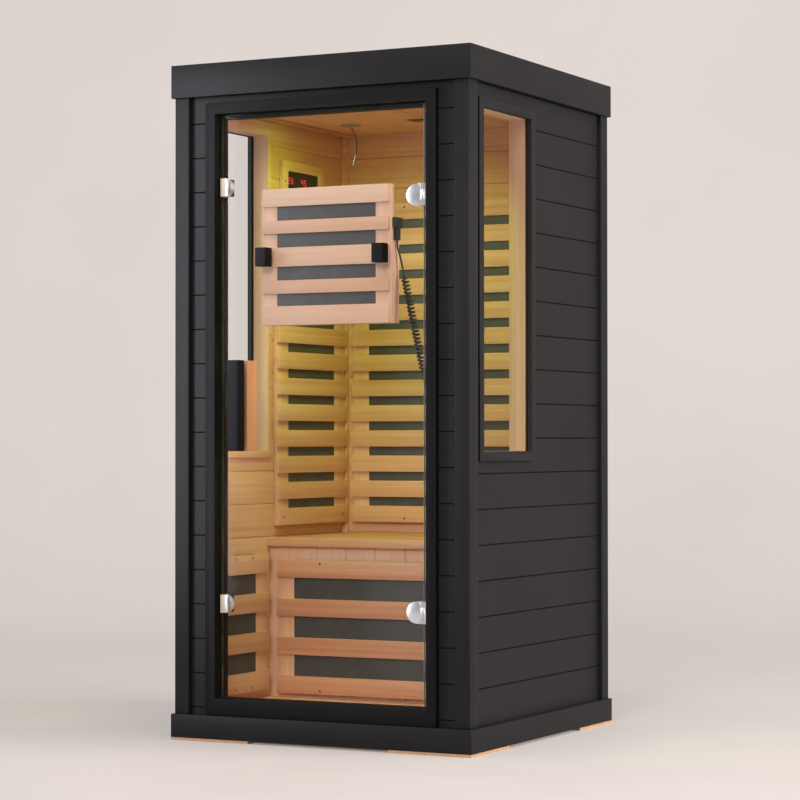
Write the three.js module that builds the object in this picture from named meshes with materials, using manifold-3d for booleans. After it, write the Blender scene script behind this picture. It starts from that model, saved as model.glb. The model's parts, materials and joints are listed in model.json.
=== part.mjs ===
// A one-person infrared sauna cabin: painted board walls, wooden inner lining, glass door and slatted heaters.
// Millimetres, +Z up, front towards -Y. The origin is on the floor at the centre of the base.
import * as THREE from 'three';
import { mergeVertices } from 'three/addons/utils/BufferGeometryUtils.js';
import Module from 'manifold-3d';

const wasm = await Module();
wasm.setup();

// Overall size
const WIDTH = 940;
const DEPTH = 970;
const HEIGHT = 1900;

// Clearance between pieces that touch
const GAP = 0.3;

// Base
const PAD_T = 8;
const PAD_X = 250;
const PAD_Y = 240;
const PAD_INSET = 1;
const BOTTOM_T = 12;
const BOTTOM_DROP = 5;
const BASE_H = 65;
const BASE_RAIL = 95;
const FLOOR_T = 15;

// Roof
const ROOF_H = 92;
const ROOF_TOP_T = 12;
const CEILING_T = 15;
const CEILING_DROP = 18.5;

// Fascia boards of the base and the roof, and how far they stand out past the posts
const FASCIA_T = 18;
const OVERHANG = 8.5;

// Walls
const CLADDING_T = 12;
const STUD_T = 26;
const LINING_T = 10;
const FRONT_RECESS = 17;
const SIDE_RECESS = 14;
const POST_W = 47;
const POST_D = 56;
const REAR_STILE = 46;
const STUD_W = 40;
const CORNER_BATTEN = 18;
const ARRIS = 2.5;

// Tongue-and-groove boards
const BOARD_PITCH = 96.5;
const GROOVE_W = 4;
const GROOVE_D = 3.5;
const FRONT_FIRST_GROOVE = 189.6;
const SIDE_FIRST_GROOVE = 172.7;

// Side windows: the opening starts this far behind the front fascia
const WINDOW_FROM_FRONT = 101;
const WINDOW_W = 310;
const WINDOW_SILL = 812;
const WINDOW_HEAD_DROP = 159;
const WINDOW_CASING_W = 27;
const WINDOW_GLASS_T = 6;
const WINDOW_LAP = 8;
const WINDOW_TRIM_W = 21;
const WINDOW_TRIM_T = 8;
const JAMB_T = 9;

// Door casing and door
const DOORWAY_FROM_SIDE = 140;
const DOORWAY_SILL = 121;
const DOORWAY_HEAD_DROP = 143;
const CASING_W = 31;
const SLEEVE_T = 12;
const SLEEVE_PROUD = 9;
const STOP_H = 11;
const STOP_FROM_GLASS = 1.5;
const GLASS_T = 8;
const GLASS_RECESS = 27;
const GLASS_GAP_LATCH = 8.5;
const GLASS_GAP_HINGE = 18.5;
const GLASS_GAP_END = 4;
const HOLE_R = 5;
const STUB_R = 4.6;

// Hinges
const HINGE_H = 60;
const HINGE_UP = 257;
const HINGE_DOWN = 252;
const HINGE_MIDDLE = 0.46;
const HINGE_PLATE_W = 42;
const HINGE_PLATE_T = 6;
const KNUCKLE_R = 6.5;
const PIN_R = 2.5;
const PIN_BORE_R = 2.9;
const LEAF_T = 3;
const LEAF_D = 22;

// Door handle bars
const HANDLE_W = 40;
const HANDLE_D = 35;
const HANDLE_H = 254;
const HANDLE_Z = 939;
const HANDLE_FROM_EDGE = 34;
const HANDLE_INNER_D = 50;
const HANDLE_STANDOFF = 10;
const HANDLE_DOWEL_SPAN = 140;
const HANDLE_CHAMFER = 4;

// Magnet catches and strike plates
const CATCH_UP = 264;
const CATCH_DOWN = 205;
const CATCH_W = 29;
const CATCH_D = 17;
const CATCH_H = 47;
const CATCH_BEHIND = 7;
const STRIKE_W = 35;
const STRIKE_H = 54;
const STRIKE_T = 5;
const STRIKE_LIP_W = 26;
const STRIKE_LIP_H = 48;
const STRIKE_LIP_T = 6;
const STRIKE_EDGE_T = 2.5;

// Heater carried by the door
const DOOR_HEATER_W = 410;
const DOOR_HEATER_X = 1;
const DOOR_HEATER_DOWN = 595;
const DOOR_HEATER_SLAT_INSET = 7;
const DOOR_HEATER_SLATS = [53, 37, 53, 36, 49];
const DOOR_HEATER_GAPS = [34.5, 38.5, 39, 39.5];
const DOOR_HEATER_STILE = 50;
const DOOR_HEATER_OFF = 2;
const DOOR_HEATER_BOX_D = 30;
const DOOR_HEATER_BOX_H = 288;
const BLOCK_W = 37;
const BLOCK_H = 52;
const BLOCK_D = 35;
const BLOCK_FROM_MIDDLE = [-179, 186];
const BLOCK_UP = 189;
const BLOCK_CHAMFER = 3;

// Slatted guards and heating panels
const SLAT_T = 8;
const STILE_T = 12;
const SLAT_SEAT = 1;
const PANEL_T = 5;
const WALL_SLAT = 50;
const WALL_SLAT_GAP = 27.6;
const WALL_HEATER_HEADROOM = 210;
const WALL_HEATER_ABOVE_BENCH = 34.5;
const BACK_HEATER_FROM_SIDE = 37.5;
const BACK_HEATER_STILE = 55;
const SIDE_HEATER_STILE = 68;
const SIDE_HEATER_FROM_WINDOW = 46;
const LOW_SLAT_COUNT = 4;
const BENCH_SLAT = 51;
const BENCH_SLAT_GAP = 62;
const BENCH_HEATER_STILE = 54;
const BENCH_HEATER_FROM_SIDE = 34;
const BENCH_HEATER_LIFT = 13;
const CALF_SLAT = 55;
const CALF_SLAT_GAP = 58.5;
const CALF_HEATER_FROM_FRONT = 39;
const CALF_HEATER_STILE = 62;
const CALF_HEATER_LIFT = 26;
const CALF_HEATER_FROM_BENCH = 20;

// Bench
const BENCH_TOP_Z = 556;
const BENCH_T = 25;
const BENCH_D = 482;
const APRON_T = 12;
const BENCH_NOSE = 20;
const CLEAT_W = 20;
const CLEAT_H = 30;

// Control panel on the left wall
const BEZEL_W = 250;
const BEZEL_H = 128;
const BEZEL_T = 14;
const BEZEL_BAND = 30;
const BEZEL_Y = 133;
const BEZEL_DOWN = 111;
const CONTROL_T = 8;
const BUTTON_R = 6;
const BUTTON_PROUD = 3;
const BUTTON_REST_DEPTH = 4;
const BUTTON_WELL = 6.2;
const BUTTON_Y = [-20, 20];
const BUTTON_UP = 14;

// Ceiling lamp, power box and temperature sensor
const LAMP_SIZE = 150;
const LAMP_T = 10;
const LAMP_RIM = 12;
const LAMP_RECESS = 3;
const LAMP_FROM_FRONT = 112;
const POWER_BOX = [220, 140, 55];
const POWER_BOX_FROM_REAR = 135;
const INLET_R = 11;
const SENSOR_FROM_LEFT = 154.5;
const SENSOR_Y = 177;
const SENSOR_LEAD_R = 1.5;
const SENSOR_DROP = [[0, 0], [0, 8], [9, 24], [16, 42], [16.5, 60], [16, 78], [13, 88]];
const PROBE_R = 3;
const PROBE_TIP = [4, 118];

// Curly cord of the door heater
const CORD_R = 2.75;
const CURL_R = 8.25;
const CURL_PITCH = 10.5;
const CURL_STEPS = 8;
const CURL_EASE = 2;
const LEAD_IN = 92;
const LEAD_OUT = 78;
const LEAD_STEPS = 9;
const LEAD_STRAIGHT = 8;
// Each bend: share of the way across from the plug to the gland, distance behind the front lining, share down
const CORD_BENDS = [
  [0.024, 6.5, 0.076], [0.064, 15.5, 0.162], [0.136, 17.5, 0.277], [0.221, 18.5, 0.408],
  [0.345, 18.5, 0.589], [0.476, 19.5, 0.769], [0.607, 22.5, 0.885], [0.751, 28.5, 0.962],
];
const CORD_SIDES = 5;
const PLUG_UP = 274;
const PLUG_BODY = [12, 42, 28];
const PLUG_TAIL = [10, 26, 34];
const GLAND_FROM_SIDE = 35.5;
const GLAND_Z = 920;
const GLAND_R = 8;
const GLAND_L = 14;

// Finishes
const PAINT = { color: 0x2b2a2b, roughness: 0.55, metalness: 0 };
const HEMLOCK = { color: 0xdfae8a, roughness: 0.6, metalness: 0 };
const BROWN_BOARD = { color: 0x5a3524, roughness: 0.7, metalness: 0 };
const PANEL_BLACK = { color: 0x4a4a49, roughness: 0.5, metalness: 0 };
const CHROME = { color: 0xd8d8dc, roughness: 0.12, metalness: 1 };
const CLEAR_GLASS = { color: 0xdfe9e2, roughness: 0.03, metalness: 0, transparent: true, opacity: 0.25 };
const BLACK_PLASTIC = { color: 0x18181a, roughness: 0.4, metalness: 0 };
const GREY_STEEL = { color: 0x9a9a98, roughness: 0.35, metalness: 1 };
const LAMP_WHITE = { color: 0xffe2b0, roughness: 0.5, metalness: 0, emissive: 0xffb050 };

// Levels and faces worked out from the driving sizes
const Z_DECK = PAD_T + BASE_H;
const Z_FLOOR = Z_DECK + FLOOR_T;
const Z_EAVES = HEIGHT - ROOF_H;
const Z_CEILING = Z_EAVES - CEILING_DROP;
const X_POST = WIDTH / 2 - OVERHANG;
const X_FACE = X_POST - SIDE_RECESS;
const X_BACK = X_FACE - CLADDING_T;
const X_IN = X_BACK - STUD_T - LINING_T;
const Y_POST_FRONT = OVERHANG - DEPTH / 2;
const Y_FACE_FRONT = Y_POST_FRONT + FRONT_RECESS;
const Y_BACK_FRONT = Y_FACE_FRONT + CLADDING_T;
const Y_IN_FRONT = Y_BACK_FRONT + STUD_T + LINING_T;
const Y_POST_REAR = DEPTH / 2 - OVERHANG;
const Y_FACE_REAR = Y_POST_REAR - SIDE_RECESS;
const Y_BACK_REAR = Y_FACE_REAR - CLADDING_T;
const Y_IN_REAR = Y_BACK_REAR - STUD_T - LINING_T;
const Y_SIDE_FRONT = Y_POST_FRONT + POST_D;
const Y_SIDE_REAR = Y_POST_REAR - REAR_STILE;
const WINDOW_Y0 = WINDOW_FROM_FRONT - DEPTH / 2;
const WINDOW_Y1 = WINDOW_Y0 + WINDOW_W;
const WINDOW_TOP = HEIGHT - WINDOW_HEAD_DROP;
const GLASS_FRONT = Y_POST_FRONT + GLASS_RECESS;
const GLASS_BACK = GLASS_FRONT + GLASS_T;
const DOORWAY_W = WIDTH - 2 * DOORWAY_FROM_SIDE;
const DOORWAY_HEAD = HEIGHT - DOORWAY_HEAD_DROP;
const HINGE_Z = [DOORWAY_SILL + HINGE_UP, DOORWAY_HEAD - HINGE_DOWN];
const CATCH_Z = [DOORWAY_SILL + CATCH_UP, DOORWAY_HEAD - CATCH_DOWN];
const DOOR_HEATER_BOTTOM = DOORWAY_HEAD - DOOR_HEATER_DOWN;
const BLOCK_X = BLOCK_FROM_MIDDLE.map((x) => DOOR_HEATER_X + x);
const BLOCK_Z = DOOR_HEATER_BOTTOM + BLOCK_UP;
const GLASS_X0 = -DOORWAY_W / 2 + GLASS_GAP_LATCH;
const GLASS_X1 = DOORWAY_W / 2 - GLASS_GAP_HINGE;
const PIVOT_X = GLASS_X1;
const PIVOT_Y = GLASS_FRONT - KNUCKLE_R - 0.5;
const HANDLE_X = GLASS_X0 + HANDLE_FROM_EDGE + HANDLE_W / 2;
const BENCH_FRONT = Y_IN_REAR - BENCH_D;
const APRON_FACE = BENCH_FRONT + BENCH_NOSE;
const HEATER_T = STILE_T + SLAT_T;
const WALL_HEATER_Z = BENCH_TOP_Z + WALL_HEATER_ABOVE_BENCH;
const WALL_SLAT_PITCH = WALL_SLAT + WALL_SLAT_GAP;
const WALL_SLAT_ROOM = Z_CEILING - WALL_HEATER_HEADROOM - WALL_HEATER_Z + WALL_SLAT_GAP;
const BACK_SLAT_COUNT = Math.floor(WALL_SLAT_ROOM / WALL_SLAT_PITCH);
const SIDE_SLAT_COUNT = BACK_SLAT_COUNT - 1;
const BACK_HEATER_W = 2 * (X_IN - BACK_HEATER_FROM_SIDE);
const LAMP_Y = Y_IN_FRONT + LAMP_FROM_FRONT;
const POWER_BOX_Y = DEPTH / 2 - POWER_BOX_FROM_REAR;

const cabin = new THREE.Group();

// Adds one named piece to the cabin
function piece(name, solid, finish) {
  const mesh = new THREE.Mesh(geometryOf(solid), new THREE.MeshStandardMaterial(finish));
  mesh.name = name;
  cabin.add(mesh);
  return mesh;
}

// Turns a closed geometry into a solid that can be joined and cut
function solidOf(source) {
  const bare = source.clone();
  bare.deleteAttribute('normal');
  bare.deleteAttribute('uv');
  const merged = mergeVertices(bare, 1e-4);
  const vertProperties = new Float32Array(merged.attributes.position.array);
  const triVerts = new Uint32Array(merged.index.array);
  return new wasm.Manifold(new wasm.Mesh({ numProp: 3, vertProperties, triVerts }));
}

function geometryOf(solid) {
  const mesh = solid.getMesh();
  const geometry = new THREE.BufferGeometry();
  geometry.setAttribute('position', new THREE.BufferAttribute(mesh.vertProperties, mesh.numProp));
  geometry.setIndex(new THREE.BufferAttribute(mesh.triVerts, 1));
  const flat = geometry.toNonIndexed();
  flat.computeVertexNormals();
  return flat;
}

function join(solids) {
  return solids.reduce((whole, next) => whole.add(next));
}

function cut(solid, tools) {
  return tools.reduce((rest, tool) => rest.subtract(tool), solid);
}

// A block between two corners
function block(x0, x1, y0, y1, z0, z1) {
  const box = new THREE.BoxGeometry(x1 - x0, y1 - y0, z1 - z0);
  box.translate((x0 + x1) / 2, (y0 + y1) / 2, (z0 + z1) / 2);
  return solidOf(box);
}

// A flat outline pushed along one axis, from one place to another
// along 'x': the outline's two numbers are y and z; along 'y': x and z; along 'z': x and y
function pushed(points, along, from, to) {
  const shape = new THREE.Shape(points.map(([u, v]) => new THREE.Vector2(u, v)));
  const body = new THREE.ExtrudeGeometry(shape, { depth: to - from, bevelEnabled: false });
  const turn = new THREE.Matrix4();
  if (along === 'x') {
    turn.makeBasis(new THREE.Vector3(0, 1, 0), new THREE.Vector3(0, 0, 1), new THREE.Vector3(1, 0, 0));
    turn.setPosition(from, 0, 0);
  } else if (along === 'y') {
    turn.makeBasis(new THREE.Vector3(1, 0, 0), new THREE.Vector3(0, 0, 1), new THREE.Vector3(0, -1, 0));
    turn.setPosition(0, to, 0);
  } else {
    turn.setPosition(0, 0, from);
  }
  body.applyMatrix4(turn);
  return solidOf(body);
}

// A rectangle's outline with its corners cut off
function bevelled(u0, u1, v0, v1, bevel) {
  return [
    [u0 + bevel, v0], [u1 - bevel, v0], [u1, v0 + bevel], [u1, v1 - bevel],
    [u1 - bevel, v1], [u0 + bevel, v1], [u0, v1 - bevel], [u0, v0 + bevel],
  ];
}

function disc(u, v, radius, sides) {
  const points = [];
  for (let i = 0; i < sides; i += 1) {
    const angle = ((i + 0.5) / sides) * 2 * Math.PI;
    points.push([u + radius * Math.cos(angle), v + radius * Math.sin(angle)]);
  }
  return points;
}

// A plate's outline with V grooves on its face, from one end to the other
// The first number runs through the plate, from its face to its back, and the second along the grooved side
function groovedOutline(face, back, from, to, firstGroove, pitch) {
  const inward = Math.sign(back - face) * GROOVE_D;
  const points = [[back, from], [face, from]];
  const first = firstGroove + Math.ceil((from + GROOVE_W - firstGroove) / pitch) * pitch;
  for (let groove = first; groove < to - GROOVE_W; groove += pitch) {
    points.push([face, groove - GROOVE_W / 2], [face + inward, groove], [face, groove + GROOVE_W / 2]);
  }
  points.push([face, to], [back, to]);
  return points;
}

function swapped(points) {
  return points.map(([u, v]) => [v, u]);
}

// A ring round an opening in a wall that faces left or right
function sideRing(x0, x1, widen) {
  const outer = block(x0, x1, WINDOW_Y0 - widen, WINDOW_Y1 + widen, WINDOW_SILL - widen, WINDOW_TOP + widen);
  return outer.subtract(windowHole(x0 - 1, x1 + 1, 0));
}

function windowHole(x0, x1, widen) {
  return block(x0, x1, WINDOW_Y0 - widen, WINDOW_Y1 + widen, WINDOW_SILL - widen, WINDOW_TOP + widen);
}

// A solid made for the right side, turned over to the left
function mirrored(solid) {
  return solid.mirror([1, 0, 0]);
}

function bothSides(name, solid, finish) {
  piece(`${name}_right`, solid, finish);
  piece(`${name}_left`, mirrored(solid), finish);
}

// Base: bottom board with its corner pads, plinth and floor
function makeBase() {
  const boardX = WIDTH / 2 - FASCIA_T - GAP;
  const boardY = DEPTH / 2 - FASCIA_T - GAP;
  const board = block(-boardX, boardX, -boardY, boardY, PAD_T - BOTTOM_DROP, PAD_T + BOTTOM_T - GAP);
  const padX = WIDTH / 2 - PAD_INSET;
  const padY = DEPTH / 2 - PAD_INSET;
  const pads = [];
  for (const sx of [-1, 1]) {
    for (const sy of [-1, 1]) {
      const xs = [sx * padX, sx * (padX - PAD_X)].sort((a, b) => a - b);
      const ys = [sy * padY, sy * (padY - PAD_Y)].sort((a, b) => a - b);
      pads.push(block(...xs, ...ys, 0, PAD_T - GAP));
    }
  }
  piece('bottom_board', join([board, ...pads]), BROWN_BOARD);

  const outer = pushed(bevelled(-WIDTH / 2, WIDTH / 2, -DEPTH / 2, DEPTH / 2, ARRIS), 'z', PAD_T, Z_DECK);
  const innerX = WIDTH / 2 - BASE_RAIL;
  const innerY = DEPTH / 2 - BASE_RAIL;
  const inside = block(-innerX, innerX, -innerY, innerY, 0, HEIGHT);
  const rebate = block(-boardX - GAP, boardX + GAP, -boardY - GAP, boardY + GAP, 0, PAD_T + BOTTOM_T);
  piece('base_plinth', cut(outer, [inside, rebate]), PAINT);

  const floorOutline = groovedOutline(Z_FLOOR, Z_DECK + GAP, GAP - X_IN, X_IN - GAP, 0, BOARD_PITCH);
  const floor = pushed(swapped(floorOutline), 'y', Y_IN_FRONT + GAP, Y_IN_REAR - GAP);
  piece('floor_boards', floor, HEMLOCK);
}

// Roof cap, ceiling, lamp and the power box with its cable inlet
function makeRoof() {
  const outer = pushed(bevelled(-WIDTH / 2, WIDTH / 2, -DEPTH / 2, DEPTH / 2, ARRIS), 'z', Z_EAVES, HEIGHT);
  const inX = WIDTH / 2 - FASCIA_T;
  const inY = DEPTH / 2 - FASCIA_T;
  const hollow = block(-inX, inX, -inY, inY, 0, HEIGHT - ROOF_TOP_T);
  const boxZ = Z_CEILING + CEILING_T + GAP;
  const inletZ = boxZ + POWER_BOX[2] / 2;
  const inletHole = pushed(disc(0, inletZ, INLET_R + GAP, 12), 'y', inY - 1, DEPTH / 2 + 1);
  piece('roof_cap', cut(outer, [hollow, inletHole]), PAINT);

  const overX = X_BACK - GAP;
  const bottom = groovedOutline(Z_CEILING, Z_CEILING + CEILING_T, -overX, overX, 0, BOARD_PITCH);
  const ceiling = pushed(swapped(bottom), 'y', Y_SIDE_FRONT + GAP, Y_SIDE_REAR - GAP);
  piece('ceiling_panel', ceiling, HEMLOCK);

  const half = LAMP_SIZE / 2;
  const lampTop = Z_CEILING - GAP;
  const lampBottom = lampTop - LAMP_T;
  const frame = block(-half, half, LAMP_Y - half, LAMP_Y + half, lampBottom, lampTop);
  const rim = half - LAMP_RIM;
  const recess = block(-rim, rim, LAMP_Y - rim, LAMP_Y + rim, 0, lampBottom + LAMP_RECESS);
  piece('ceiling_lamp', frame.subtract(recess), LAMP_WHITE);

  const [boxW, boxD, boxH] = POWER_BOX;
  const boxY1 = POWER_BOX_Y + boxD / 2;
  const box = block(-boxW / 2, boxW / 2, POWER_BOX_Y - boxD / 2, boxY1, boxZ, boxZ + boxH);
  const inlet = pushed(disc(0, inletZ, INLET_R, 12), 'y', boxY1 - 1, DEPTH / 2 - 1);
  piece('power_box', box.add(inlet), GREY_STEEL);
}

// Corner posts at the front
function makePosts() {
  const outline = bevelled(X_POST - POST_W, X_POST, Y_POST_FRONT, Y_SIDE_FRONT, ARRIS);
  bothSides('post_front', pushed(outline, 'z', Z_DECK + GAP, Z_EAVES - GAP), PAINT);
}

// The hole that the door casing's sleeve passes through
function doorHole(widen, y0, y1) {
  const halfW = DOORWAY_W / 2 + widen;
  return block(-halfW, halfW, y0, y1, DOORWAY_SILL - widen, DOORWAY_HEAD + widen);
}

// Front wall: painted boards outside, thick lining inside, both round the doorway
function makeFrontWall() {
  const halfW = X_POST - POST_W - GAP;
  const through = doorHole(SLEEVE_T + GAP, Y_POST_FRONT, 0);
  const outside = groovedOutline(
    Y_FACE_FRONT, Y_BACK_FRONT, Z_DECK + GAP, Z_EAVES - GAP, FRONT_FIRST_GROOVE, BOARD_PITCH);
  piece('front_boards', pushed(outside, 'x', -halfW, halfW).subtract(through), PAINT);

  const inside = groovedOutline(
    Y_IN_FRONT, Y_BACK_FRONT + GAP, Z_DECK + GAP, Z_CEILING - GAP, FRONT_FIRST_GROOVE, BOARD_PITCH);
  piece('front_lining', pushed(inside, 'x', GAP - X_IN, X_IN - GAP).subtract(through), HEMLOCK);
}

// Side walls with their windows
function makeSideWalls() {
  const top = Z_EAVES - GAP;
  const y0 = Y_SIDE_FRONT + GAP;
  const y1 = Y_SIDE_REAR - GAP;
  const outline = groovedOutline(X_FACE, X_BACK, Z_DECK + GAP, top, SIDE_FIRST_GROOVE, BOARD_PITCH);
  const hole = windowHole(X_BACK - 1, X_FACE + 1, WINDOW_LAP + GAP);
  bothSides('side_boards', pushed(outline, 'y', y0, y1).subtract(hole), PAINT);

  const glassFront = X_FACE - GAP;
  const glassBack = glassFront - WINDOW_GLASS_T;
  const paneY0 = WINDOW_Y0 - WINDOW_LAP;
  const paneY1 = WINDOW_Y1 + WINDOW_LAP;
  const pane = block(glassBack, glassFront, paneY0, paneY1, WINDOW_SILL - WINDOW_LAP, WINDOW_TOP + WINDOW_LAP);
  bothSides('window_glass', pane, CLEAR_GLASS);

  const casing = sideRing(X_FACE, X_POST, WINDOW_CASING_W);
  bothSides('window_casing', casing, PAINT);

  bothSides('side_lining', makeSideLining(y0, y1, glassBack - GAP), HEMLOCK);
}

// Lining boards on studs, with the window's jamb and trim and the cleat that carries the bench
function makeSideLining(y0, y1, jambEnd) {
  const outX = X_BACK - GAP;
  const top = Z_CEILING - GAP;
  const outline = groovedOutline(X_IN, outX, Z_DECK + GAP, top, SIDE_FIRST_GROOVE, BOARD_PITCH);
  const panel = pushed(outline, 'y', y0, y1);
  const pocketX = X_IN + LINING_T;
  const pocketTop = WINDOW_SILL - STUD_W;
  const midY = (y0 + y1) / 2;
  const pockets = [
    block(pocketX, outX + 1, y0 + STUD_W, midY - STUD_W / 2, Z_DECK + STUD_W, pocketTop),
    block(pocketX, outX + 1, midY + STUD_W / 2, y1 - STUD_W, Z_DECK + STUD_W, pocketTop),
    block(pocketX, outX + 1, WINDOW_Y1 + STUD_W, y1 - STUD_W, WINDOW_SILL, top - STUD_W),
  ];
  const jamb = sideRing(X_IN, jambEnd, WINDOW_LAP - GAP);
  const trim = sideRing(X_IN - WINDOW_TRIM_T, X_IN + 1, WINDOW_TRIM_W);
  const cleatTop = BENCH_TOP_Z - BENCH_T - GAP;
  const cleatY0 = APRON_FACE + APRON_T + GAP;
  const cleat = block(X_IN - CLEAT_W, X_IN + 1, cleatY0, Y_IN_REAR - STUD_W, cleatTop - CLEAT_H, cleatTop);
  const opened = cut(panel, [windowHole(0, outX + 1, 0), ...pockets]);
  return join([opened, jamb, trim, cleat]);
}

// Back wall: boards with the rear stiles outside, lining with corner battens inside
function makeBackWall() {
  const stileX = X_POST - REAR_STILE;
  const bottom = Z_DECK + GAP;
  const outside = groovedOutline(
    Y_FACE_REAR, Y_BACK_REAR, bottom, Z_EAVES - GAP, SIDE_FIRST_GROOVE, BOARD_PITCH);
  const boards = pushed(outside, 'x', -stileX - 1, stileX + 1);
  const stile = pushed(bevelled(stileX, X_POST, Y_SIDE_REAR, Y_POST_REAR, ARRIS), 'z', bottom, Z_EAVES - GAP);
  piece('back_boards', join([boards, stile, mirrored(stile)]), PAINT);

  const top = Z_CEILING - GAP;
  const halfW = X_IN - GAP;
  const outY = Y_BACK_REAR - GAP;
  const inside = groovedOutline(Y_IN_REAR, outY, bottom, top, SIDE_FIRST_GROOVE, BOARD_PITCH);
  const pocketY = Y_IN_REAR + LINING_T;
  const pocketTop = top - STUD_W;
  const pocket = block(STUD_W / 2, halfW - STUD_W, pocketY, outY + 1, Z_DECK + STUD_W, pocketTop);
  const opened = cut(pushed(inside, 'x', -halfW, halfW), [pocket, mirrored(pocket)]);
  const battenX = halfW - CORNER_BATTEN;
  const batten = block(battenX, halfW, Y_IN_REAR - CORNER_BATTEN, Y_IN_REAR + 1, BENCH_TOP_Z + GAP, top);
  piece('back_lining', join([opened, batten, mirrored(batten)]), HEMLOCK);
}

// Door casing: a flange over the front boards and a sleeve through the wall
function makeDoorCasing() {
  const outX = DOORWAY_W / 2 + CASING_W;
  const flange = block(-outX, outX, Y_POST_FRONT, Y_FACE_FRONT - GAP, Z_DECK + GAP, DOORWAY_HEAD + CASING_W);
  const sleeve = doorHole(SLEEVE_T, Y_POST_FRONT + 1, Y_IN_FRONT + SLEEVE_PROUD);
  const opening = doorHole(0, Y_POST_FRONT - 1, 0);
  const stopW = DOORWAY_W / 2 + 1;
  const stopY0 = GLASS_BACK + STOP_FROM_GLASS;
  const stopZ0 = DOORWAY_HEAD - STOP_H;
  const stop = block(-stopW, stopW, stopY0, Y_IN_FRONT + SLEEVE_PROUD, stopZ0, DOORWAY_HEAD + 1);
  piece('door_casing', flange.add(sleeve).subtract(opening).add(stop), PAINT);
}

// The glass door, drilled for the handle's dowels and the heater's bolts
function makeDoorGlass() {
  const z0 = DOORWAY_SILL + GLASS_GAP_END;
  const z1 = DOORWAY_HEAD - GLASS_GAP_END;
  const pane = block(GLASS_X0, GLASS_X1, GLASS_FRONT, GLASS_BACK, z0, z1);
  const holes = [...dowelPlaces(), ...boltPlaces()].map(([x, z]) => glassStub(x, z, HOLE_R, -1, 1));
  piece('door_glass', cut(pane, holes), CLEAR_GLASS);
}

function dowelPlaces() {
  return [-1, 1].map((side) => [HANDLE_X, HANDLE_Z + side * HANDLE_DOWEL_SPAN / 2]);
}

function boltPlaces() {
  return BLOCK_X.map((x) => [x, BLOCK_Z]);
}

// A round stub through the glass; the last two numbers say how far it passes each face
function glassStub(x, z, radius, pastFront, pastBack) {
  return pushed(disc(x, z, radius, 10), 'y', GLASS_FRONT + pastFront, GLASS_BACK + pastBack);
}

// A half-moon outline with its straight side at u0 and its round side reaching u1
function halfMoon(u0, u1, v, height, steps) {
  const round = Math.min(height / 2, Math.abs(u1 - u0));
  const centre = u1 - Math.sign(u1 - u0) * round;
  const points = [[u0, v - height / 2]];
  for (let i = 0; i <= steps; i += 1) {
    const angle = -Math.PI / 2 + (i / steps) * Math.PI;
    const reach = centre + Math.sign(u1 - u0) * round * Math.cos(angle);
    points.push([reach, v + (height / 2) * Math.sin(angle)]);
  }
  points.push([u0, v + height / 2]);
  const apart = (p, q) => Math.hypot(p[0] - q[0], p[1] - q[1]) > 1e-6;
  return points.filter((p, i) => i === 0 || apart(p, points[i - 1]));
}

// Hinges: a leaf with its pin on the casing, and a clamp with half-moon plates on the glass
function makeHinges() {
  ['bottom', 'top'].forEach((place, i) => {
    const z = HINGE_Z[i];
    piece(`hinge_leaf_${place}`, makeHingeLeaf(z), CHROME);
    piece(`hinge_clamp_${place}`, makeHingeClamp(z), CHROME);
  });
}

function makeHingeLeaf(z) {
  const half = HINGE_H / 2;
  const middle = (HINGE_MIDDLE * HINGE_H) / 2;
  const wallX = DOORWAY_W / 2 - GAP;
  const y0 = PIVOT_Y - KNUCKLE_R;
  const plate = block(wallX - LEAF_T, wallX, y0, y0 + LEAF_D, z - half, z + half);
  const pin = pushed(disc(PIVOT_X, PIVOT_Y, PIN_R, 12), 'z', z - half + 1, z + half - 1);
  const ends = [];
  for (const [from, to] of [[-half, -middle], [middle, half]]) {
    ends.push(pushed(disc(PIVOT_X, PIVOT_Y, KNUCKLE_R, 12), 'z', z + from, z + to));
    ends.push(block(PIVOT_X, wallX - 1, y0 + 2, PIVOT_Y, z + from, z + to));
  }
  return join([plate, pin, ...ends]);
}

function makeHingeClamp(z) {
  const middle = (HINGE_MIDDLE * HINGE_H) / 2 - GAP;
  const plateX1 = PIVOT_X - KNUCKLE_R - 1;
  const outline = halfMoon(plateX1, plateX1 - HINGE_PLATE_W, z, HINGE_H, 12);
  const frontFace = GLASS_FRONT - GAP - HINGE_PLATE_T;
  const backFace = GLASS_BACK + GAP + HINGE_PLATE_T;
  const front = pushed(outline, 'y', frontFace, GLASS_FRONT - GAP);
  const back = pushed(outline, 'y', GLASS_BACK + GAP, backFace);
  const knuckle = pushed(disc(PIVOT_X, PIVOT_Y, KNUCKLE_R, 12), 'z', z - middle, z + middle);
  const bore = pushed(disc(PIVOT_X, PIVOT_Y, PIN_BORE_R, 12), 'z', z - HINGE_H, z + HINGE_H);
  const webX1 = GLASS_X1 + GAP + HINGE_PLATE_T / 2;
  const webFront = block(plateX1 - 1, webX1, frontFace, GLASS_FRONT - GAP, z - middle, z + middle);
  const webSide = block(GLASS_X1 + GAP, webX1, frontFace, backFace, z - middle, z + middle);
  const webBack = block(plateX1 - 1, webX1, GLASS_BACK + GAP, backFace, z - middle, z + middle);
  return join([front, back, knuckle, webFront, webSide, webBack]).subtract(bore);
}

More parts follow.
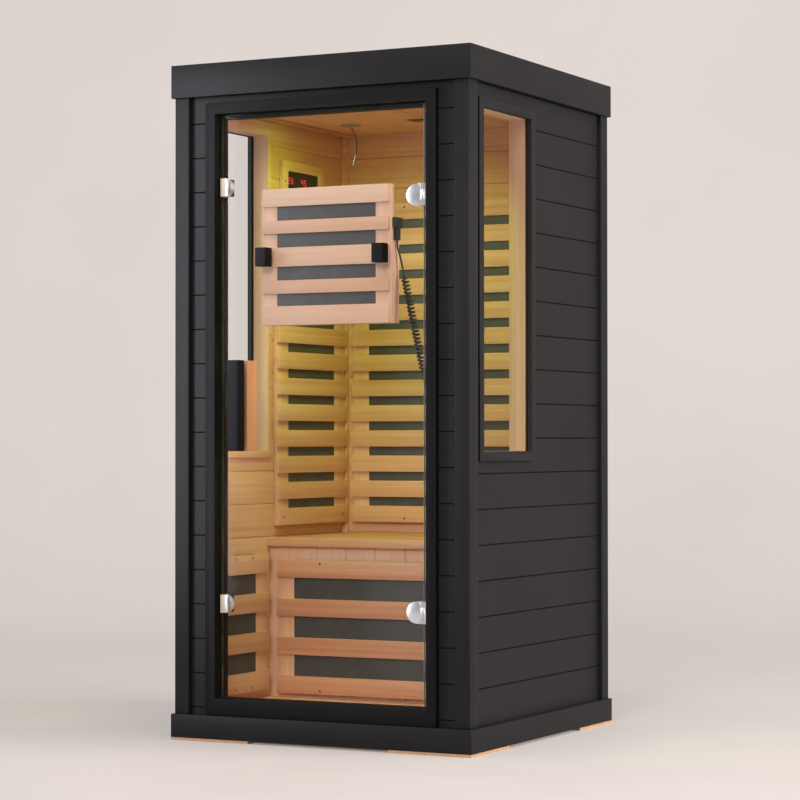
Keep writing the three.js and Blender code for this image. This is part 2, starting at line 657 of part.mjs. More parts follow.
// Handle: a black bar outside, a wooden bar inside on two dowels through the glass
function makeHandle() {
  const x0 = HANDLE_X - HANDLE_W / 2;
  const x1 = HANDLE_X + HANDLE_W / 2;
  const z0 = HANDLE_Z - HANDLE_H / 2;
  const z1 = HANDLE_Z + HANDLE_H / 2;
  const outerY = GLASS_FRONT - GAP;
  const outer = pushed(bevelled(x0, x1, outerY - HANDLE_D, outerY, HANDLE_CHAMFER), 'z', z0, z1);
  piece('handle_outer', outer, PAINT);

  const innerY = GLASS_BACK + HANDLE_STANDOFF;
  const bar = pushed(bevelled(x0, x1, innerY, innerY + HANDLE_INNER_D, HANDLE_CHAMFER), 'z', z0, z1);
  const dowels = dowelPlaces().map(([x, z]) => glassStub(x, z, STUB_R, 0, HANDLE_STANDOFF + 1));
  piece('handle_inner', join([bar, ...dowels]), HEMLOCK);
}

// Magnet catches on the casing and half-moon strike plates clipped over the edge of the glass
function makeCatches() {
  const wallX = GAP - DOORWAY_W / 2;
  ['bottom', 'top'].forEach((place, i) => {
    const z = CATCH_Z[i];
    const y0 = GLASS_BACK + CATCH_BEHIND;
    const outline = bevelled(wallX, wallX + CATCH_W, y0, y0 + CATCH_D, 1.5);
    piece(`magnet_${place}`, pushed(outline, 'z', z - CATCH_H / 2, z + CATCH_H / 2), BLACK_PLASTIC);
    piece(`strike_${place}`, makeStrike(z), CHROME);
  });
}

function makeStrike(z) {
  const x0 = GLASS_X0 - GAP - STRIKE_EDGE_T;
  const backY = GLASS_BACK + GAP + STRIKE_T;
  const lipY = GLASS_FRONT - GAP - STRIKE_LIP_T;
  const moon = pushed(halfMoon(x0, x0 + STRIKE_W, z, STRIKE_H, 12), 'y', GLASS_BACK + GAP, backY);
  const z0 = z - STRIKE_LIP_H / 2;
  const lip = block(x0, x0 + STRIKE_LIP_W, lipY, GLASS_FRONT - GAP, z0, z0 + STRIKE_LIP_H);
  const edge = block(x0, GLASS_X0 - GAP, lipY, backY, z0, z0 + STRIKE_LIP_H);
  return join([moon, lip, edge]);
}

// A slatted guard, flat against a wall: stiles at the wall, slats over them
// Its own x runs along the wall, its y out of the wall, and its z up from its lowest slat
function makeGuard(width, stile, slats, gaps, inset = 0) {
  const parts = [];
  let z = 0;
  slats.forEach((slat, i) => {
    parts.push(block(inset, width - inset, STILE_T - SLAT_SEAT, HEATER_T, z, z + slat));
    z += slat + (gaps[i] ?? 0);
  });
  parts.push(block(0, stile, 0, STILE_T, 0, z), block(width - stile, width, 0, STILE_T, 0, z));
  return join(parts);
}

// The heating panel that lies between the stiles, against the back of the slats
function makePanel(width, stile, height) {
  const x0 = stile + GAP;
  const face = STILE_T - SLAT_SEAT - GAP;
  return block(x0, width - x0, face - PANEL_T, face, 0, height);
}

// A guard and its heating panel on a wall, at a corner point and a turn about the vertical
function makeHeater(name, size, corner, turn) {
  const { width, stile, slats, gaps } = size;
  const height = sum(slats) + sum(gaps);
  const guard = piece(`${name}_guard`, makeGuard(width, stile, slats, gaps), HEMLOCK);
  const panel = piece(`${name}_panel`, makePanel(width, stile, height), PANEL_BLACK);
  for (const mesh of [guard, panel]) {
    mesh.position.set(...corner);
    mesh.rotation.z = turn;
  }
}

function sum(list) {
  return list.reduce((total, value) => total + value, 0);
}

function evenSlats(count, slat, gap) {
  return { slats: new Array(count).fill(slat), gaps: new Array(count - 1).fill(gap) };
}

// The fixed heaters: back wall, both side walls, bench front and both calf heaters
function makeHeaters() {
  const tall = evenSlats(BACK_SLAT_COUNT, WALL_SLAT, WALL_SLAT_GAP);
  const backSize = { width: BACK_HEATER_W, stile: BACK_HEATER_STILE, ...tall };
  makeHeater('back_heater', backSize, [BACK_HEATER_W / 2, Y_IN_REAR - GAP, WALL_HEATER_Z], Math.PI);

  const sideY0 = WINDOW_Y1 + SIDE_HEATER_FROM_WINDOW;
  const sideY1 = Y_IN_REAR - HEATER_T - GAP;
  const shorter = evenSlats(SIDE_SLAT_COUNT, WALL_SLAT, WALL_SLAT_GAP);
  const sideSize = { width: sideY1 - sideY0, stile: SIDE_HEATER_STILE, ...shorter };
  const wallX = X_IN - GAP;
  makeHeater('left_heater', sideSize, [-wallX, sideY1, WALL_HEATER_Z], -Math.PI / 2);
  makeHeater('right_heater', sideSize, [wallX, sideY0, WALL_HEATER_Z], Math.PI / 2);

  const low = evenSlats(LOW_SLAT_COUNT, BENCH_SLAT, BENCH_SLAT_GAP);
  const benchW = 2 * (wallX - BENCH_HEATER_FROM_SIDE);
  const benchSize = { width: benchW, stile: BENCH_HEATER_STILE, ...low };
  const benchZ = Z_FLOOR + BENCH_HEATER_LIFT;
  makeHeater('bench_heater', benchSize, [benchW / 2, APRON_FACE - GAP, benchZ], Math.PI);

  const calf = evenSlats(LOW_SLAT_COUNT, CALF_SLAT, CALF_SLAT_GAP);
  const calfY0 = Y_IN_FRONT + CALF_HEATER_FROM_FRONT;
  const calfY1 = BENCH_FRONT - CALF_HEATER_FROM_BENCH;
  const calfSize = { width: calfY1 - calfY0, stile: CALF_HEATER_STILE, ...calf };
  const calfZ = Z_FLOOR + CALF_HEATER_LIFT;
  makeHeater('calf_left', calfSize, [-wallX, calfY1, calfZ], -Math.PI / 2);
  makeHeater('calf_right', calfSize, [wallX, calfY0, calfZ], Math.PI / 2);
}

// Bench top and the front panel of vertical boards under it
function makeBench() {
  const halfW = X_IN - GAP;
  const outline = groovedOutline(BENCH_TOP_Z, BENCH_TOP_Z - BENCH_T, BENCH_FRONT, Y_IN_REAR - GAP,
    BENCH_FRONT + BOARD_PITCH, BOARD_PITCH);
  piece('bench_top', pushed(outline.map(([z, y]) => [y, z]), 'x', -halfW, halfW), HEMLOCK);
  const front = groovedOutline(APRON_FACE, APRON_FACE + APRON_T, -halfW, halfW, BOARD_PITCH / 2, BOARD_PITCH);
  const apron = pushed(swapped(front), 'z', Z_FLOOR + GAP, BENCH_TOP_Z - BENCH_T - GAP);
  piece('bench_apron', apron, HEMLOCK);
}

// The heater on the door: slats and stiles behind the glass, with a slatted box on the room side
function makeDoorHeater() {
  const height = sum(DOOR_HEATER_SLATS) + sum(DOOR_HEATER_GAPS);
  const guard = makeGuard(
    DOOR_HEATER_W, DOOR_HEATER_STILE, DOOR_HEATER_SLATS, DOOR_HEATER_GAPS, DOOR_HEATER_SLAT_INSET);
  const boxBack = -DOOR_HEATER_BOX_D;
  const shell = block(0, DOOR_HEATER_W, boxBack, 1, 0, DOOR_HEATER_BOX_H);
  const inner = DOOR_HEATER_STILE;
  const rail = DOOR_HEATER_SLATS[0];
  const hollow = block(inner, DOOR_HEATER_W - inner, boxBack - 1, 2, rail, DOOR_HEATER_BOX_H - rail);
  const bar = (DOOR_HEATER_BOX_H - rail) / 2;
  const crossBar = block(inner - 1, DOOR_HEATER_W - inner + 1, boxBack, boxBack + SLAT_T, bar, bar + rail);
  const panelBack = block(inner - GAP, DOOR_HEATER_W - inner + GAP, 0, STILE_T - SLAT_SEAT, 0, height);
  const whole = join([guard, cut(shell, [hollow]), crossBar]);
  const heater = new THREE.Group();
  const guardMesh = piece('door_heater_guard', cut(whole, [panelBack]), HEMLOCK);
  const panelMesh = piece('door_heater_panel', makePanel(DOOR_HEATER_W, inner, height), PANEL_BLACK);
  heater.add(guardMesh, panelMesh);
  heater.position.set(doorHeaterX(1), GLASS_BACK + DOOR_HEATER_OFF + HEATER_T, DOOR_HEATER_BOTTOM);
  heater.rotation.z = Math.PI;
  cabin.add(heater);

  BLOCK_X.forEach((x, i) => {
    const y1 = GLASS_FRONT - GAP;
    const z0 = BLOCK_Z - BLOCK_H / 2;
    const outline = bevelled(x - BLOCK_W / 2, x + BLOCK_W / 2, y1 - BLOCK_D, y1, BLOCK_CHAMFER);
    const bolt = glassStub(x, BLOCK_Z, STUB_R, -1, DOOR_HEATER_OFF - GAP);
    piece(`heater_block_${['left', 'right'][i]}`, pushed(outline, 'z', z0, z0 + BLOCK_H).add(bolt), PAINT);
  });
}

// The door heater's left (-1) or right (1) end
function doorHeaterX(side) {
  return DOOR_HEATER_X + (side * DOOR_HEATER_W) / 2;
}

// Right-angle plug on the heater's end, gland on the front lining, and the curly cord between them
function makeCord() {
  const plugX = doorHeaterX(1) + GAP;
  const plugY = GLASS_BACK + DOOR_HEATER_OFF + HEATER_T + DOOR_HEATER_BOX_D / 2 - 6;
  const [bodyT, bodyD, bodyH] = PLUG_BODY;
  const [tailT, tailD, tailH] = PLUG_TAIL;
  const bodyZ = DOOR_HEATER_BOTTOM + PLUG_UP - bodyH / 2;
  const across = (thick, deep) => bevelled(plugX, plugX + thick, plugY - deep / 2, plugY + deep / 2, 2);
  const body = pushed(across(bodyT, bodyD), 'z', bodyZ, bodyZ + bodyH);
  const tail = pushed(across(tailT, tailD), 'z', bodyZ - tailH, bodyZ + 1);
  piece('cord_plug', body.add(tail), BLACK_PLASTIC);

  const glandX = X_IN - GLAND_FROM_SIDE;
  const glandY = Y_IN_FRONT + GAP;
  const gland = pushed(disc(glandX, GLAND_Z, GLAND_R, 12), 'y', glandY, glandY + GLAND_L);
  piece('cord_gland', gland, BLACK_PLASTIC);

  const start = [plugX + tailT / 2, plugY, bodyZ - tailH - GAP];
  const end = [glandX, glandY + GLAND_L + GAP, GLAND_Z];
  const skin = new THREE.MeshStandardMaterial(BLACK_PLASTIC);
  const cord = new THREE.Mesh(curlyTube(cordRoute(start, end)), skin);
  cord.name = 'curly_cord';
  cabin.add(cord);
}

// The straight leads and the curled middle of the cord follow these points, from the plug down to the gland
function cordRoute(start, end) {
  const [x, y, z] = start;
  const bends = CORD_BENDS.map(([across, behind, down]) => (
    [x + across * (end[0] - x), Y_IN_FRONT + behind, z + down * (end[2] - z)]));
  const points = [
    start, [x, y, z - LEAD_STRAIGHT], [x, y, z - 2 * LEAD_STRAIGHT], ...bends,
    [end[0], end[1] + 2 * LEAD_STRAIGHT, end[2]], [end[0], end[1] + LEAD_STRAIGHT, end[2]], end,
  ];
  return new THREE.CatmullRomCurve3(points.map((p) => new THREE.Vector3(...p)), false, 'centripetal');
}

// One unbroken tube: straight at the plug, curled along the middle, straight again at the gland
function curlyTube(route) {
  const length = route.getLength();
  const curled = length - LEAD_IN - LEAD_OUT;
  const ease = CURL_PITCH * CURL_EASE;
  const curls = Math.round(curled / CURL_PITCH);
  const count = curls * CURL_STEPS;
  const centres = [];
  for (let i = 0; i < LEAD_STEPS; i += 1) {
    centres.push(route.getPointAt((LEAD_IN * i) / LEAD_STEPS / length));
  }
  const side = new THREE.Vector3(0, 1, 0);
  for (let i = 0; i <= count; i += 1) {
    const along = LEAD_IN + (curled * i) / count;
    const middle = route.getPointAt(along / length);
    const tangent = route.getTangentAt(along / length);
    const across = new THREE.Vector3().crossVectors(side, tangent).normalize();
    const outward = new THREE.Vector3().crossVectors(tangent, across).normalize();
    const fromEnd = Math.min(along - LEAD_IN, length - LEAD_OUT - along);
    const radius = CURL_R * Math.min(1, fromEnd / ease);
    const angle = (2 * Math.PI * i) / CURL_STEPS;
    middle.addScaledVector(across, radius * Math.cos(angle));
    middle.addScaledVector(outward, radius * Math.sin(angle));
    centres.push(middle);
  }
  for (let i = 1; i <= LEAD_STEPS; i += 1) {
    centres.push(route.getPointAt(1 - (LEAD_OUT * (LEAD_STEPS - i)) / LEAD_STEPS / length));
  }
  console.log(`curly cord: ${curls} curls, least gap to itself ${leastGap(centres).toFixed(2)} mm`);
  return tubeAlong(centres, CORD_R, CORD_SIDES);
}

// Least clear distance between stretches of the cord that are more than half a curl apart
function leastGap(centres) {
  let least = Infinity;
  const apart = CURL_STEPS - 2;
  for (let i = 0; i < centres.length - apart; i += 1) {
    for (let j = i + apart; j < centres.length; j += 1) {
      least = Math.min(least, centres[i].distanceTo(centres[j]));
    }
  }
  return least - 2 * CORD_R;
}

// A closed tube through a row of centres, its section carried along without twist
function tubeAlong(centres, radius, sides) {
  const last = centres.length - 1;
  const positions = [];
  const indices = [];
  let normal = new THREE.Vector3(1, 0, 0);
  centres.forEach((centre, i) => {
    const ahead = centres[Math.min(i + 1, last)];
    const behind = centres[Math.max(i - 1, 0)];
    const tangent = new THREE.Vector3().subVectors(ahead, behind).normalize();
    normal = normal.clone().addScaledVector(tangent, -normal.dot(tangent)).normalize();
    const binormal = new THREE.Vector3().crossVectors(tangent, normal);
    for (let k = 0; k < sides; k += 1) {
      const angle = (2 * Math.PI * k) / sides;
      const point = centre.clone();
      point.addScaledVector(normal, radius * Math.cos(angle));
      point.addScaledVector(binormal, radius * Math.sin(angle));
      positions.push(point.x, point.y, point.z);
    }
  });
  for (let i = 0; i < last; i += 1) {
    for (let k = 0; k < sides; k += 1) {
      const a = i * sides + k;
      const b = i * sides + ((k + 1) % sides);
      indices.push(a, b, a + sides, b, b + sides, a + sides);
    }
  }
  for (let k = 1; k < sides - 1; k += 1) {
    indices.push(0, k + 1, k);
    indices.push(last * sides, last * sides + k, last * sides + k + 1);
  }
  const geometry = new THREE.BufferGeometry();
  geometry.setAttribute('position', new THREE.Float32BufferAttribute(positions, 3));
  geometry.setIndex(indices);
  geometry.computeVertexNormals();
  return geometry;
}

// Control panel on the left wall: wooden bezel, dark panel and two push buttons
function makeControl() {
  const wallX = GAP - X_IN;
  const z1 = Z_CEILING - BEZEL_DOWN;
  const z0 = z1 - BEZEL_H;
  const y0 = BEZEL_Y - BEZEL_W / 2;
  const y1 = BEZEL_Y + BEZEL_W / 2;
  const frame = block(wallX, wallX + BEZEL_T, y0, y1, z0, z1);
  const inner = [y0 + BEZEL_BAND, y1 - BEZEL_BAND, z0 + BEZEL_BAND, z1 - BEZEL_BAND];
  piece('control_bezel', frame.subtract(block(wallX - 1, wallX + BEZEL_T + 1, ...inner)), HEMLOCK);

  const face = wallX + CONTROL_T;
  const panel = block(wallX, face, inner[0] + GAP, inner[1] - GAP, inner[2] + GAP, inner[3] - GAP);
  const buttonZ = inner[2] + BUTTON_UP;
  const wellR = BUTTON_R + GAP;
  const wells = BUTTON_Y.map((y) => roundX(BEZEL_Y + y, buttonZ, wellR, face - BUTTON_WELL, face + 1));
  piece('control_panel', cut(panel, wells), BLACK_PLASTIC);
  BUTTON_Y.forEach((y, i) => {
    const button = roundX(BEZEL_Y + y, buttonZ, BUTTON_R, face - BUTTON_REST_DEPTH, face + BUTTON_PROUD);
    piece(`control_button_${['power', 'light'][i]}`, button, GREY_STEEL);
  });
}

function roundX(y, z, radius, x0, x1) {
  return pushed(disc(y, z, radius, 12), 'x', x0, x1);
}

// Temperature sensor: a thin lead from the ceiling and a metal probe on its end
function makeSensor() {
  const leftX = SENSOR_FROM_LEFT - X_IN;
  const place = ([dx, dz]) => new THREE.Vector3(leftX + dx, SENSOR_Y, Z_CEILING - GAP - dz);
  const route = new THREE.CatmullRomCurve3(SENSOR_DROP.map(place), false, 'centripetal');
  const lead = new THREE.Mesh(
    tubeAlong(route.getSpacedPoints(14), SENSOR_LEAD_R, 8), new THREE.MeshStandardMaterial(BLACK_PLASTIC));
  lead.name = 'sensor_lead';
  const from = place(SENSOR_DROP[SENSOR_DROP.length - 1]);
  const tip = place(PROBE_TIP);
  const direction = new THREE.Vector3().subVectors(tip, from).normalize();
  const start = from.clone().addScaledVector(direction, GAP);
  const shell = new THREE.MeshStandardMaterial(GREY_STEEL);
  const probe = new THREE.Mesh(tubeAlong([start, tip], PROBE_R, 10), shell);
  probe.name = 'sensor_probe';
  cabin.add(lead, probe);
}

makeBase();
makeRoof();
makePosts();
makeFrontWall();
makeSideWalls();
makeBackWall();
makeDoorCasing();
makeDoorGlass();
makeHinges();
makeHandle();
makeCatches();
makeHeaters();
makeBench();
makeDoorHeater();
makeCord();
makeControl();
makeSensor();

export default cabin;
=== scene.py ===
# %% [markdown]
# # An infrared sauna cabin
# A one-person cabin: dark painted boards outside, pale softwood inside, a glass door and slatted heaters.
# The solid parts arrive as a finished frame, in metres, with the front towards -Y. This script dresses them.
# It rounds the edges that show, adds the small pieces, and gives every surface the finish of the real one.

# %% Load the frame
import json
import math

import bmesh
import bpy
import numpy as np
from mathutils import Matrix, Vector


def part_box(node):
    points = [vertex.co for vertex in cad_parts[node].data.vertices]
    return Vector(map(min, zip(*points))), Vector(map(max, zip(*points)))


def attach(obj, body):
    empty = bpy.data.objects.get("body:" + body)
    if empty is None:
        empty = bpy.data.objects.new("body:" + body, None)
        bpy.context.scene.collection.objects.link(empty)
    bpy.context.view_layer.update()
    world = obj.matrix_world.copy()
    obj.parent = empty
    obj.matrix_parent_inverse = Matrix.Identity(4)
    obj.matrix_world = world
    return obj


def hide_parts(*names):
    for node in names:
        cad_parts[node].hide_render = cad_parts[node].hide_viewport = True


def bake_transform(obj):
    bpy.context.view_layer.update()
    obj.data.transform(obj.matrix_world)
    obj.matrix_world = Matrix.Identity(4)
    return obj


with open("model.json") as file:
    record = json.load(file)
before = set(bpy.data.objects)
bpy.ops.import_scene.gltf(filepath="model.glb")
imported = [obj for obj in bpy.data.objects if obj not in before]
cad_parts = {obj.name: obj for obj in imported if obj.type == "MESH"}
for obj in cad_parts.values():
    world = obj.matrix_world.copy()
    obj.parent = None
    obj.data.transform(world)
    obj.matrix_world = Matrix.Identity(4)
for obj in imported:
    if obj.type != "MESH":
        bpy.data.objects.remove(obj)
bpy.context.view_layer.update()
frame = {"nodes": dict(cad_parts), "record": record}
body_of_node = {}
for body_name, members in frame["record"]["behaviour"]["bodies"].items():
    for member in members:
        body_of_node[member] = body_name

# %% [markdown]
# ## Camera
# The photographer stood in front and to the right, with a long lens held a little above the bench, so the
# upright edges stay almost upright. The place and the angle were worked out from the cabin's corners.

# %% Camera
CAMERA_PLACE = (3.4456, -6.6806, 0.8393)
CAMERA_YAW = math.radians(-27.227)
CAMERA_PITCH = math.radians(0.914)
CAMERA_ROLL = math.radians(-0.035)
LENS_MM = 116.49
SENSOR_MM = 36.0


def set_camera():
    data = bpy.data.cameras.new("photo_camera")
    data.lens = LENS_MM
    data.sensor_width = SENSOR_MM
    data.sensor_fit = "AUTO"
    camera = bpy.data.objects.new("photo_camera", data)
    bpy.context.scene.collection.objects.link(camera)
    turn = Matrix.Rotation(-CAMERA_YAW, 4, "Z") @ Matrix.Rotation(math.pi / 2 + CAMERA_PITCH, 4, "X")
    camera.matrix_world = Matrix.Translation(CAMERA_PLACE) @ turn @ Matrix.Rotation(CAMERA_ROLL, 4, "Z")
    bpy.context.scene.camera = camera


set_camera()
bpy.context.scene.view_settings.view_transform = "Standard"
print("camera at", CAMERA_PLACE)

# %% [markdown]
# ## Small helpers
# A finish is a network of shader nodes. One function adds a node, sets its values and joins its inputs.
# Colours are written as the hex values that a screen shows, and turned to the linear values that light uses.

# %% Helpers for finishes
MM = 0.001


def linear(hex_colour):
    channels = []
    for place in (1, 3, 5):
        value = int(hex_colour[place:place + 2], 16) / 255
        channels.append(value / 12.92 if value <= 0.04045 else ((value + 0.055) / 1.055) ** 2.4)
    return (*channels, 1.0)


def feed(node, values):
    for name, value in values.items():
        socket = node.inputs[name]
        if isinstance(value, bpy.types.NodeSocket):
            node.id_data.links.new(value, socket)
        else:
            socket.default_value = value


def add(tree, kind, values=None, stops=(), **settings):
    # A node with its settings, its inputs set or linked, and the stops of its colour band where it has one
    node = tree.nodes.new(kind)
    for name, setting in settings.items():
        setattr(node, name, setting)
    feed(node, values or {})
    for place, (position, colour) in enumerate(stops):
        band = node.color_ramp.elements
        stop = band[place] if place < len(band) else band.new(position)
        stop.position = position
        stop.color = linear(colour)
    return node


def new_finish(name):
    finish = bpy.data.materials.new(name)
    finish.use_nodes = True
    tree = finish.node_tree
    place = add(tree, "ShaderNodeTexCoord").outputs["Object"]
    return finish, tree, tree.nodes["Principled BSDF"], place


# %% [markdown]
# ## Helpers for pieces
# A piece is a mesh that rides on one of the frame's bodies. A sharp solid looks like a model. A real plank
# has a small rounding on each edge that catches the light, so most solids that show are copied and bevelled.
# The sizes of pieces and patterns are written in millimetres.

# %% Helpers for pieces
SMOOTH_ANGLE = math.radians(35)
FLAT_ANGLE = math.radians(1)
WELD_MM = 0.01


def make_piece(name, bm, finish, body):
    mesh = bpy.data.meshes.new(name)
    bm.to_mesh(mesh)
    bm.free()
    mesh.materials.append(finish)
    obj = bpy.data.objects.new(name, mesh)
    bpy.context.scene.collection.objects.link(obj)
    if body:
        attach(obj, body)
    return obj


def smooth_by_angle(bm):
    for face in bm.faces:
        face.smooth = True
    for edge in bm.edges:
        edge.smooth = len(edge.link_faces) == 2 and edge.calc_face_angle(0.0) < SMOOTH_ANGLE


def round_edges(bm, edges, radius_mm):
    bmesh.ops.bevel(bm, geom=edges, offset=radius_mm * MM, segments=2, profile=0.5, affect="EDGES",
                    clamp_overlap=True)
    smooth_by_angle(bm)


def join_rings(bm, rings):
    # A skin over rings of equal count, closed at both ends
    sides = len(rings[0])
    for a, b in zip(rings, rings[1:]):
        for k in range(sides):
            bm.faces.new((a[k], a[(k + 1) % sides], b[(k + 1) % sides], b[k]))
    bm.faces.new(rings[0][::-1])
    bm.faces.new(rings[-1])


def rounded_copy(node, finish, radius_mm, second=None, takes_second=None):
    # A copy with rounded edges; faces that takes_second picks out get the second finish
    bm = bmesh.new()
    bm.from_mesh(frame["nodes"][node].data)
    bmesh.ops.remove_doubles(bm, verts=bm.verts, dist=WELD_MM * MM)
    bmesh.ops.dissolve_limit(bm, angle_limit=FLAT_ANGLE, verts=bm.verts, edges=bm.edges)
    sharp = [e for e in bm.edges if len(e.link_faces) == 2 and e.calc_face_angle(0.0) > SMOOTH_ANGLE]
    round_edges(bm, sharp, radius_mm)
    if second:
        for face in bm.faces:
            face.material_index = int(takes_second(face))
    obj = make_piece(f"{node}_rounded", bm, finish, body_of_node[node])
    if second:
        obj.data.materials.append(second)
    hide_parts(node)


def dress(nodes, finish):
    for node in nodes:
        slots = frame["nodes"][node].data.materials
        slots.clear()
        slots.append(finish)


# %% [markdown]
# ## Curly cord
# The heater on the door gets its current through a curly cord, like that of an old telephone. A straight lead
# leaves the plug, then the cord winds into curls, hangs behind the glass and ends in a gland on the wall.
# It is one tube along a helix, and the helix follows a smooth curve through a few measured points.

# %% Curly cord
CORD_R = 2.75
CURL_R = 8.25
CURL_PITCH = 10.5
CURL_EASE = 2
LEAD_IN = 92
LEAD_OUT = 78
CURL_STEPS = 16
LEAD_STEPS = 18
CORD_SIDES = 8
ROUTE_STEPS = 80
PVC_MOTTLE_MM = 6.0
CORD_POINTS = [
    (211.3, -410.5, 1387.7), (211.3, -410.5, 1379.7), (211.3, -410.5, 1371.7),
    (214.96, -405, 1352.15), (221.07, -396, 1311.93), (232.07, -394, 1258.15), (245.05, -393, 1196.88),
    (263.98, -393, 1112.22), (283.99, -392, 1028.04), (303.99, -389, 973.79), (325.98, -383, 937.77),
    (364, -380.9, 920), (364, -388.9, 920), (364, -396.9, 920),
]


def smooth_route(points, per_span=ROUTE_STEPS):
    pts = [np.array(p, float) for p in points]
    pts = [2 * pts[0] - pts[1], *pts, 2 * pts[-1] - pts[-2]]
    line = []
    for p0, p1, p2, p3 in zip(pts, pts[1:], pts[2:], pts[3:]):
        d0, d1, d2 = (max(np.linalg.norm(b - a) ** 0.5, 1e-6) for a, b in ((p0, p1), (p1, p2), (p2, p3)))
        m1 = ((p1 - p0) / d0 - (p2 - p0) / (d0 + d1) + (p2 - p1) / d1) * d1
        m2 = ((p2 - p1) / d1 - (p3 - p1) / (d1 + d2) + (p3 - p2) / d2) * d1
        for t in np.linspace(0, 1, per_span, endpoint=False):
            line.append(p1 * (2 * t**3 - 3 * t**2 + 1) + m1 * (t**3 - 2 * t**2 + t)
                        + p2 * (3 * t**2 - 2 * t**3) + m2 * (t**3 - t**2))
    line.append(pts[-2])
    return np.array(line)


def along_line(line, distances):
    steps = np.linalg.norm(np.diff(line, axis=0), axis=1)
    total = np.concatenate([[0], np.cumsum(steps)])
    return np.stack([np.interp(distances, total, line[:, k]) for k in range(3)], axis=1), total[-1]


def curl_line():
    line = smooth_route(CORD_POINTS)
    length = along_line(line, [0])[1]
    curled = length - LEAD_IN - LEAD_OUT
    curls = round(curled / CURL_PITCH)
    lead_in, _ = along_line(line, np.linspace(0, LEAD_IN, LEAD_STEPS, endpoint=False))
    lead_out, _ = along_line(line, np.linspace(length - LEAD_OUT, length, LEAD_STEPS + 1)[1:])
    steps = np.arange(curls * CURL_STEPS + 1)
    places = LEAD_IN + curled * steps / steps[-1]
    middle, _ = along_line(line, places)
    ahead, _ = along_line(line, places + 1)
    behind, _ = along_line(line, places - 1)
    tangent = (ahead - behind) / np.linalg.norm(ahead - behind, axis=1)[:, None]
    across = np.cross([0, 1, 0], tangent)
    across /= np.linalg.norm(across, axis=1)[:, None]
    outward = np.cross(tangent, across)
    from_end = np.minimum(places - LEAD_IN, length - LEAD_OUT - places)
    radius = CURL_R * np.minimum(1, from_end / (CURL_PITCH * CURL_EASE))
    angle = 2 * math.pi * steps / CURL_STEPS
    curl = middle + across * (radius * np.cos(angle))[:, None] + outward * (radius * np.sin(angle))[:, None]
    return np.concatenate([lead_in, curl, lead_out])


def tube(points, radius, sides):
    bm = bmesh.new()
    points = np.array(points, float)
    normal = np.array([1.0, 0.0, 0.0])
    rings = []
    for i, centre in enumerate(points):
        tangent = points[min(i + 1, len(points) - 1)] - points[max(i - 1, 0)]
        tangent /= np.linalg.norm(tangent)
        normal = normal - tangent * normal.dot(tangent)
        normal /= np.linalg.norm(normal)
        binormal = np.cross(tangent, normal)
        ring = []
        for k in range(sides):
            angle = 2 * math.pi * k / sides
            spoke = normal * math.cos(angle) + binormal * math.sin(angle)
            ring.append(bm.verts.new(centre + radius * spoke))
        rings.append(ring)
    join_rings(bm, rings)
    smooth_by_angle(bm)
    return bm


def cord_finish():
    # Black PVC, extruded over the wires: dull, with the faint unevenness of a soft skin
    finish, tree, shader, place = new_finish("black_pvc")
    mottle = add(tree, "ShaderNodeTexNoise", {
        "Vector": place, "Scale": 1 / (PVC_MOTTLE_MM * MM), "Detail": 2.0})
    colour = add(tree, "ShaderNodeValToRGB", {"Fac": mottle.outputs["Fac"]},
                 [(0.3, "#161617"), (0.7, "#252527")])
    feed(shader, {"Base Color": colour.outputs["Color"], "Roughness": 0.45, "IOR": 1.53})
    return finish


black_pvc = cord_finish()
curl_points = curl_line() * MM
curly_tube = tube(curl_points, CORD_R * MM, CORD_SIDES)
curly_cord = make_piece("curly_flex", curly_tube, black_pvc, None)
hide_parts("curly_cord")
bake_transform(curly_cord)

# %% [markdown]
# ## Temperature sensor lead
# A thin lead comes out of the ceiling and ends in a metal probe that hangs in the warm air. It is a soft
# wire, so it keeps a small swing from the way it was packed. A thin tube is enough for it.

# %% Sensor lead
SENSOR_R = 1.5
SENSOR_SIDES = 10
SENSOR_STEPS = 6
SENSOR_POINTS = [
    (-245, 177, 1789.2), (-245, 177, 1781.2), (-236, 177, 1765.2), (-229, 177, 1747.2), (-228.5, 177, 1729.2),
    (-229, 177, 1711.2), (-232, 177, 1701.2),
]
sensor_line = smooth_route(SENSOR_POINTS, per_span=SENSOR_STEPS) * MM
sensor_tube = tube(sensor_line, SENSOR_R * MM, SENSOR_SIDES)
sensor_lead = make_piece("sensor_wire", sensor_tube, black_pvc, "cabin")
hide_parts("sensor_lead")

# %% [markdown]
# ## Studio
# The photograph has a pale, slightly warm studio: a floor that runs up into the wall behind in one curve, and
# large soft lamps. The paper takes light and shadow like any dull surface. A little brightness of its own,
# which only the camera, mirrors and glass see, keeps it pale without more light on the cabin. From its back
# side the paper is see-through, so that the cabin can also be looked at from behind the wall.

# %% Studio floor
SWEEP_RADIUS = 2.0
SWEEP_START = 3.2
SWEEP_STEPS = 16
STAGE_HALF = 14.0
WALL_TOP = 9.0
FLOOR_LIFT = 0.27
WALL_LIFT = 0.44
SCUFF_MM = 600.0


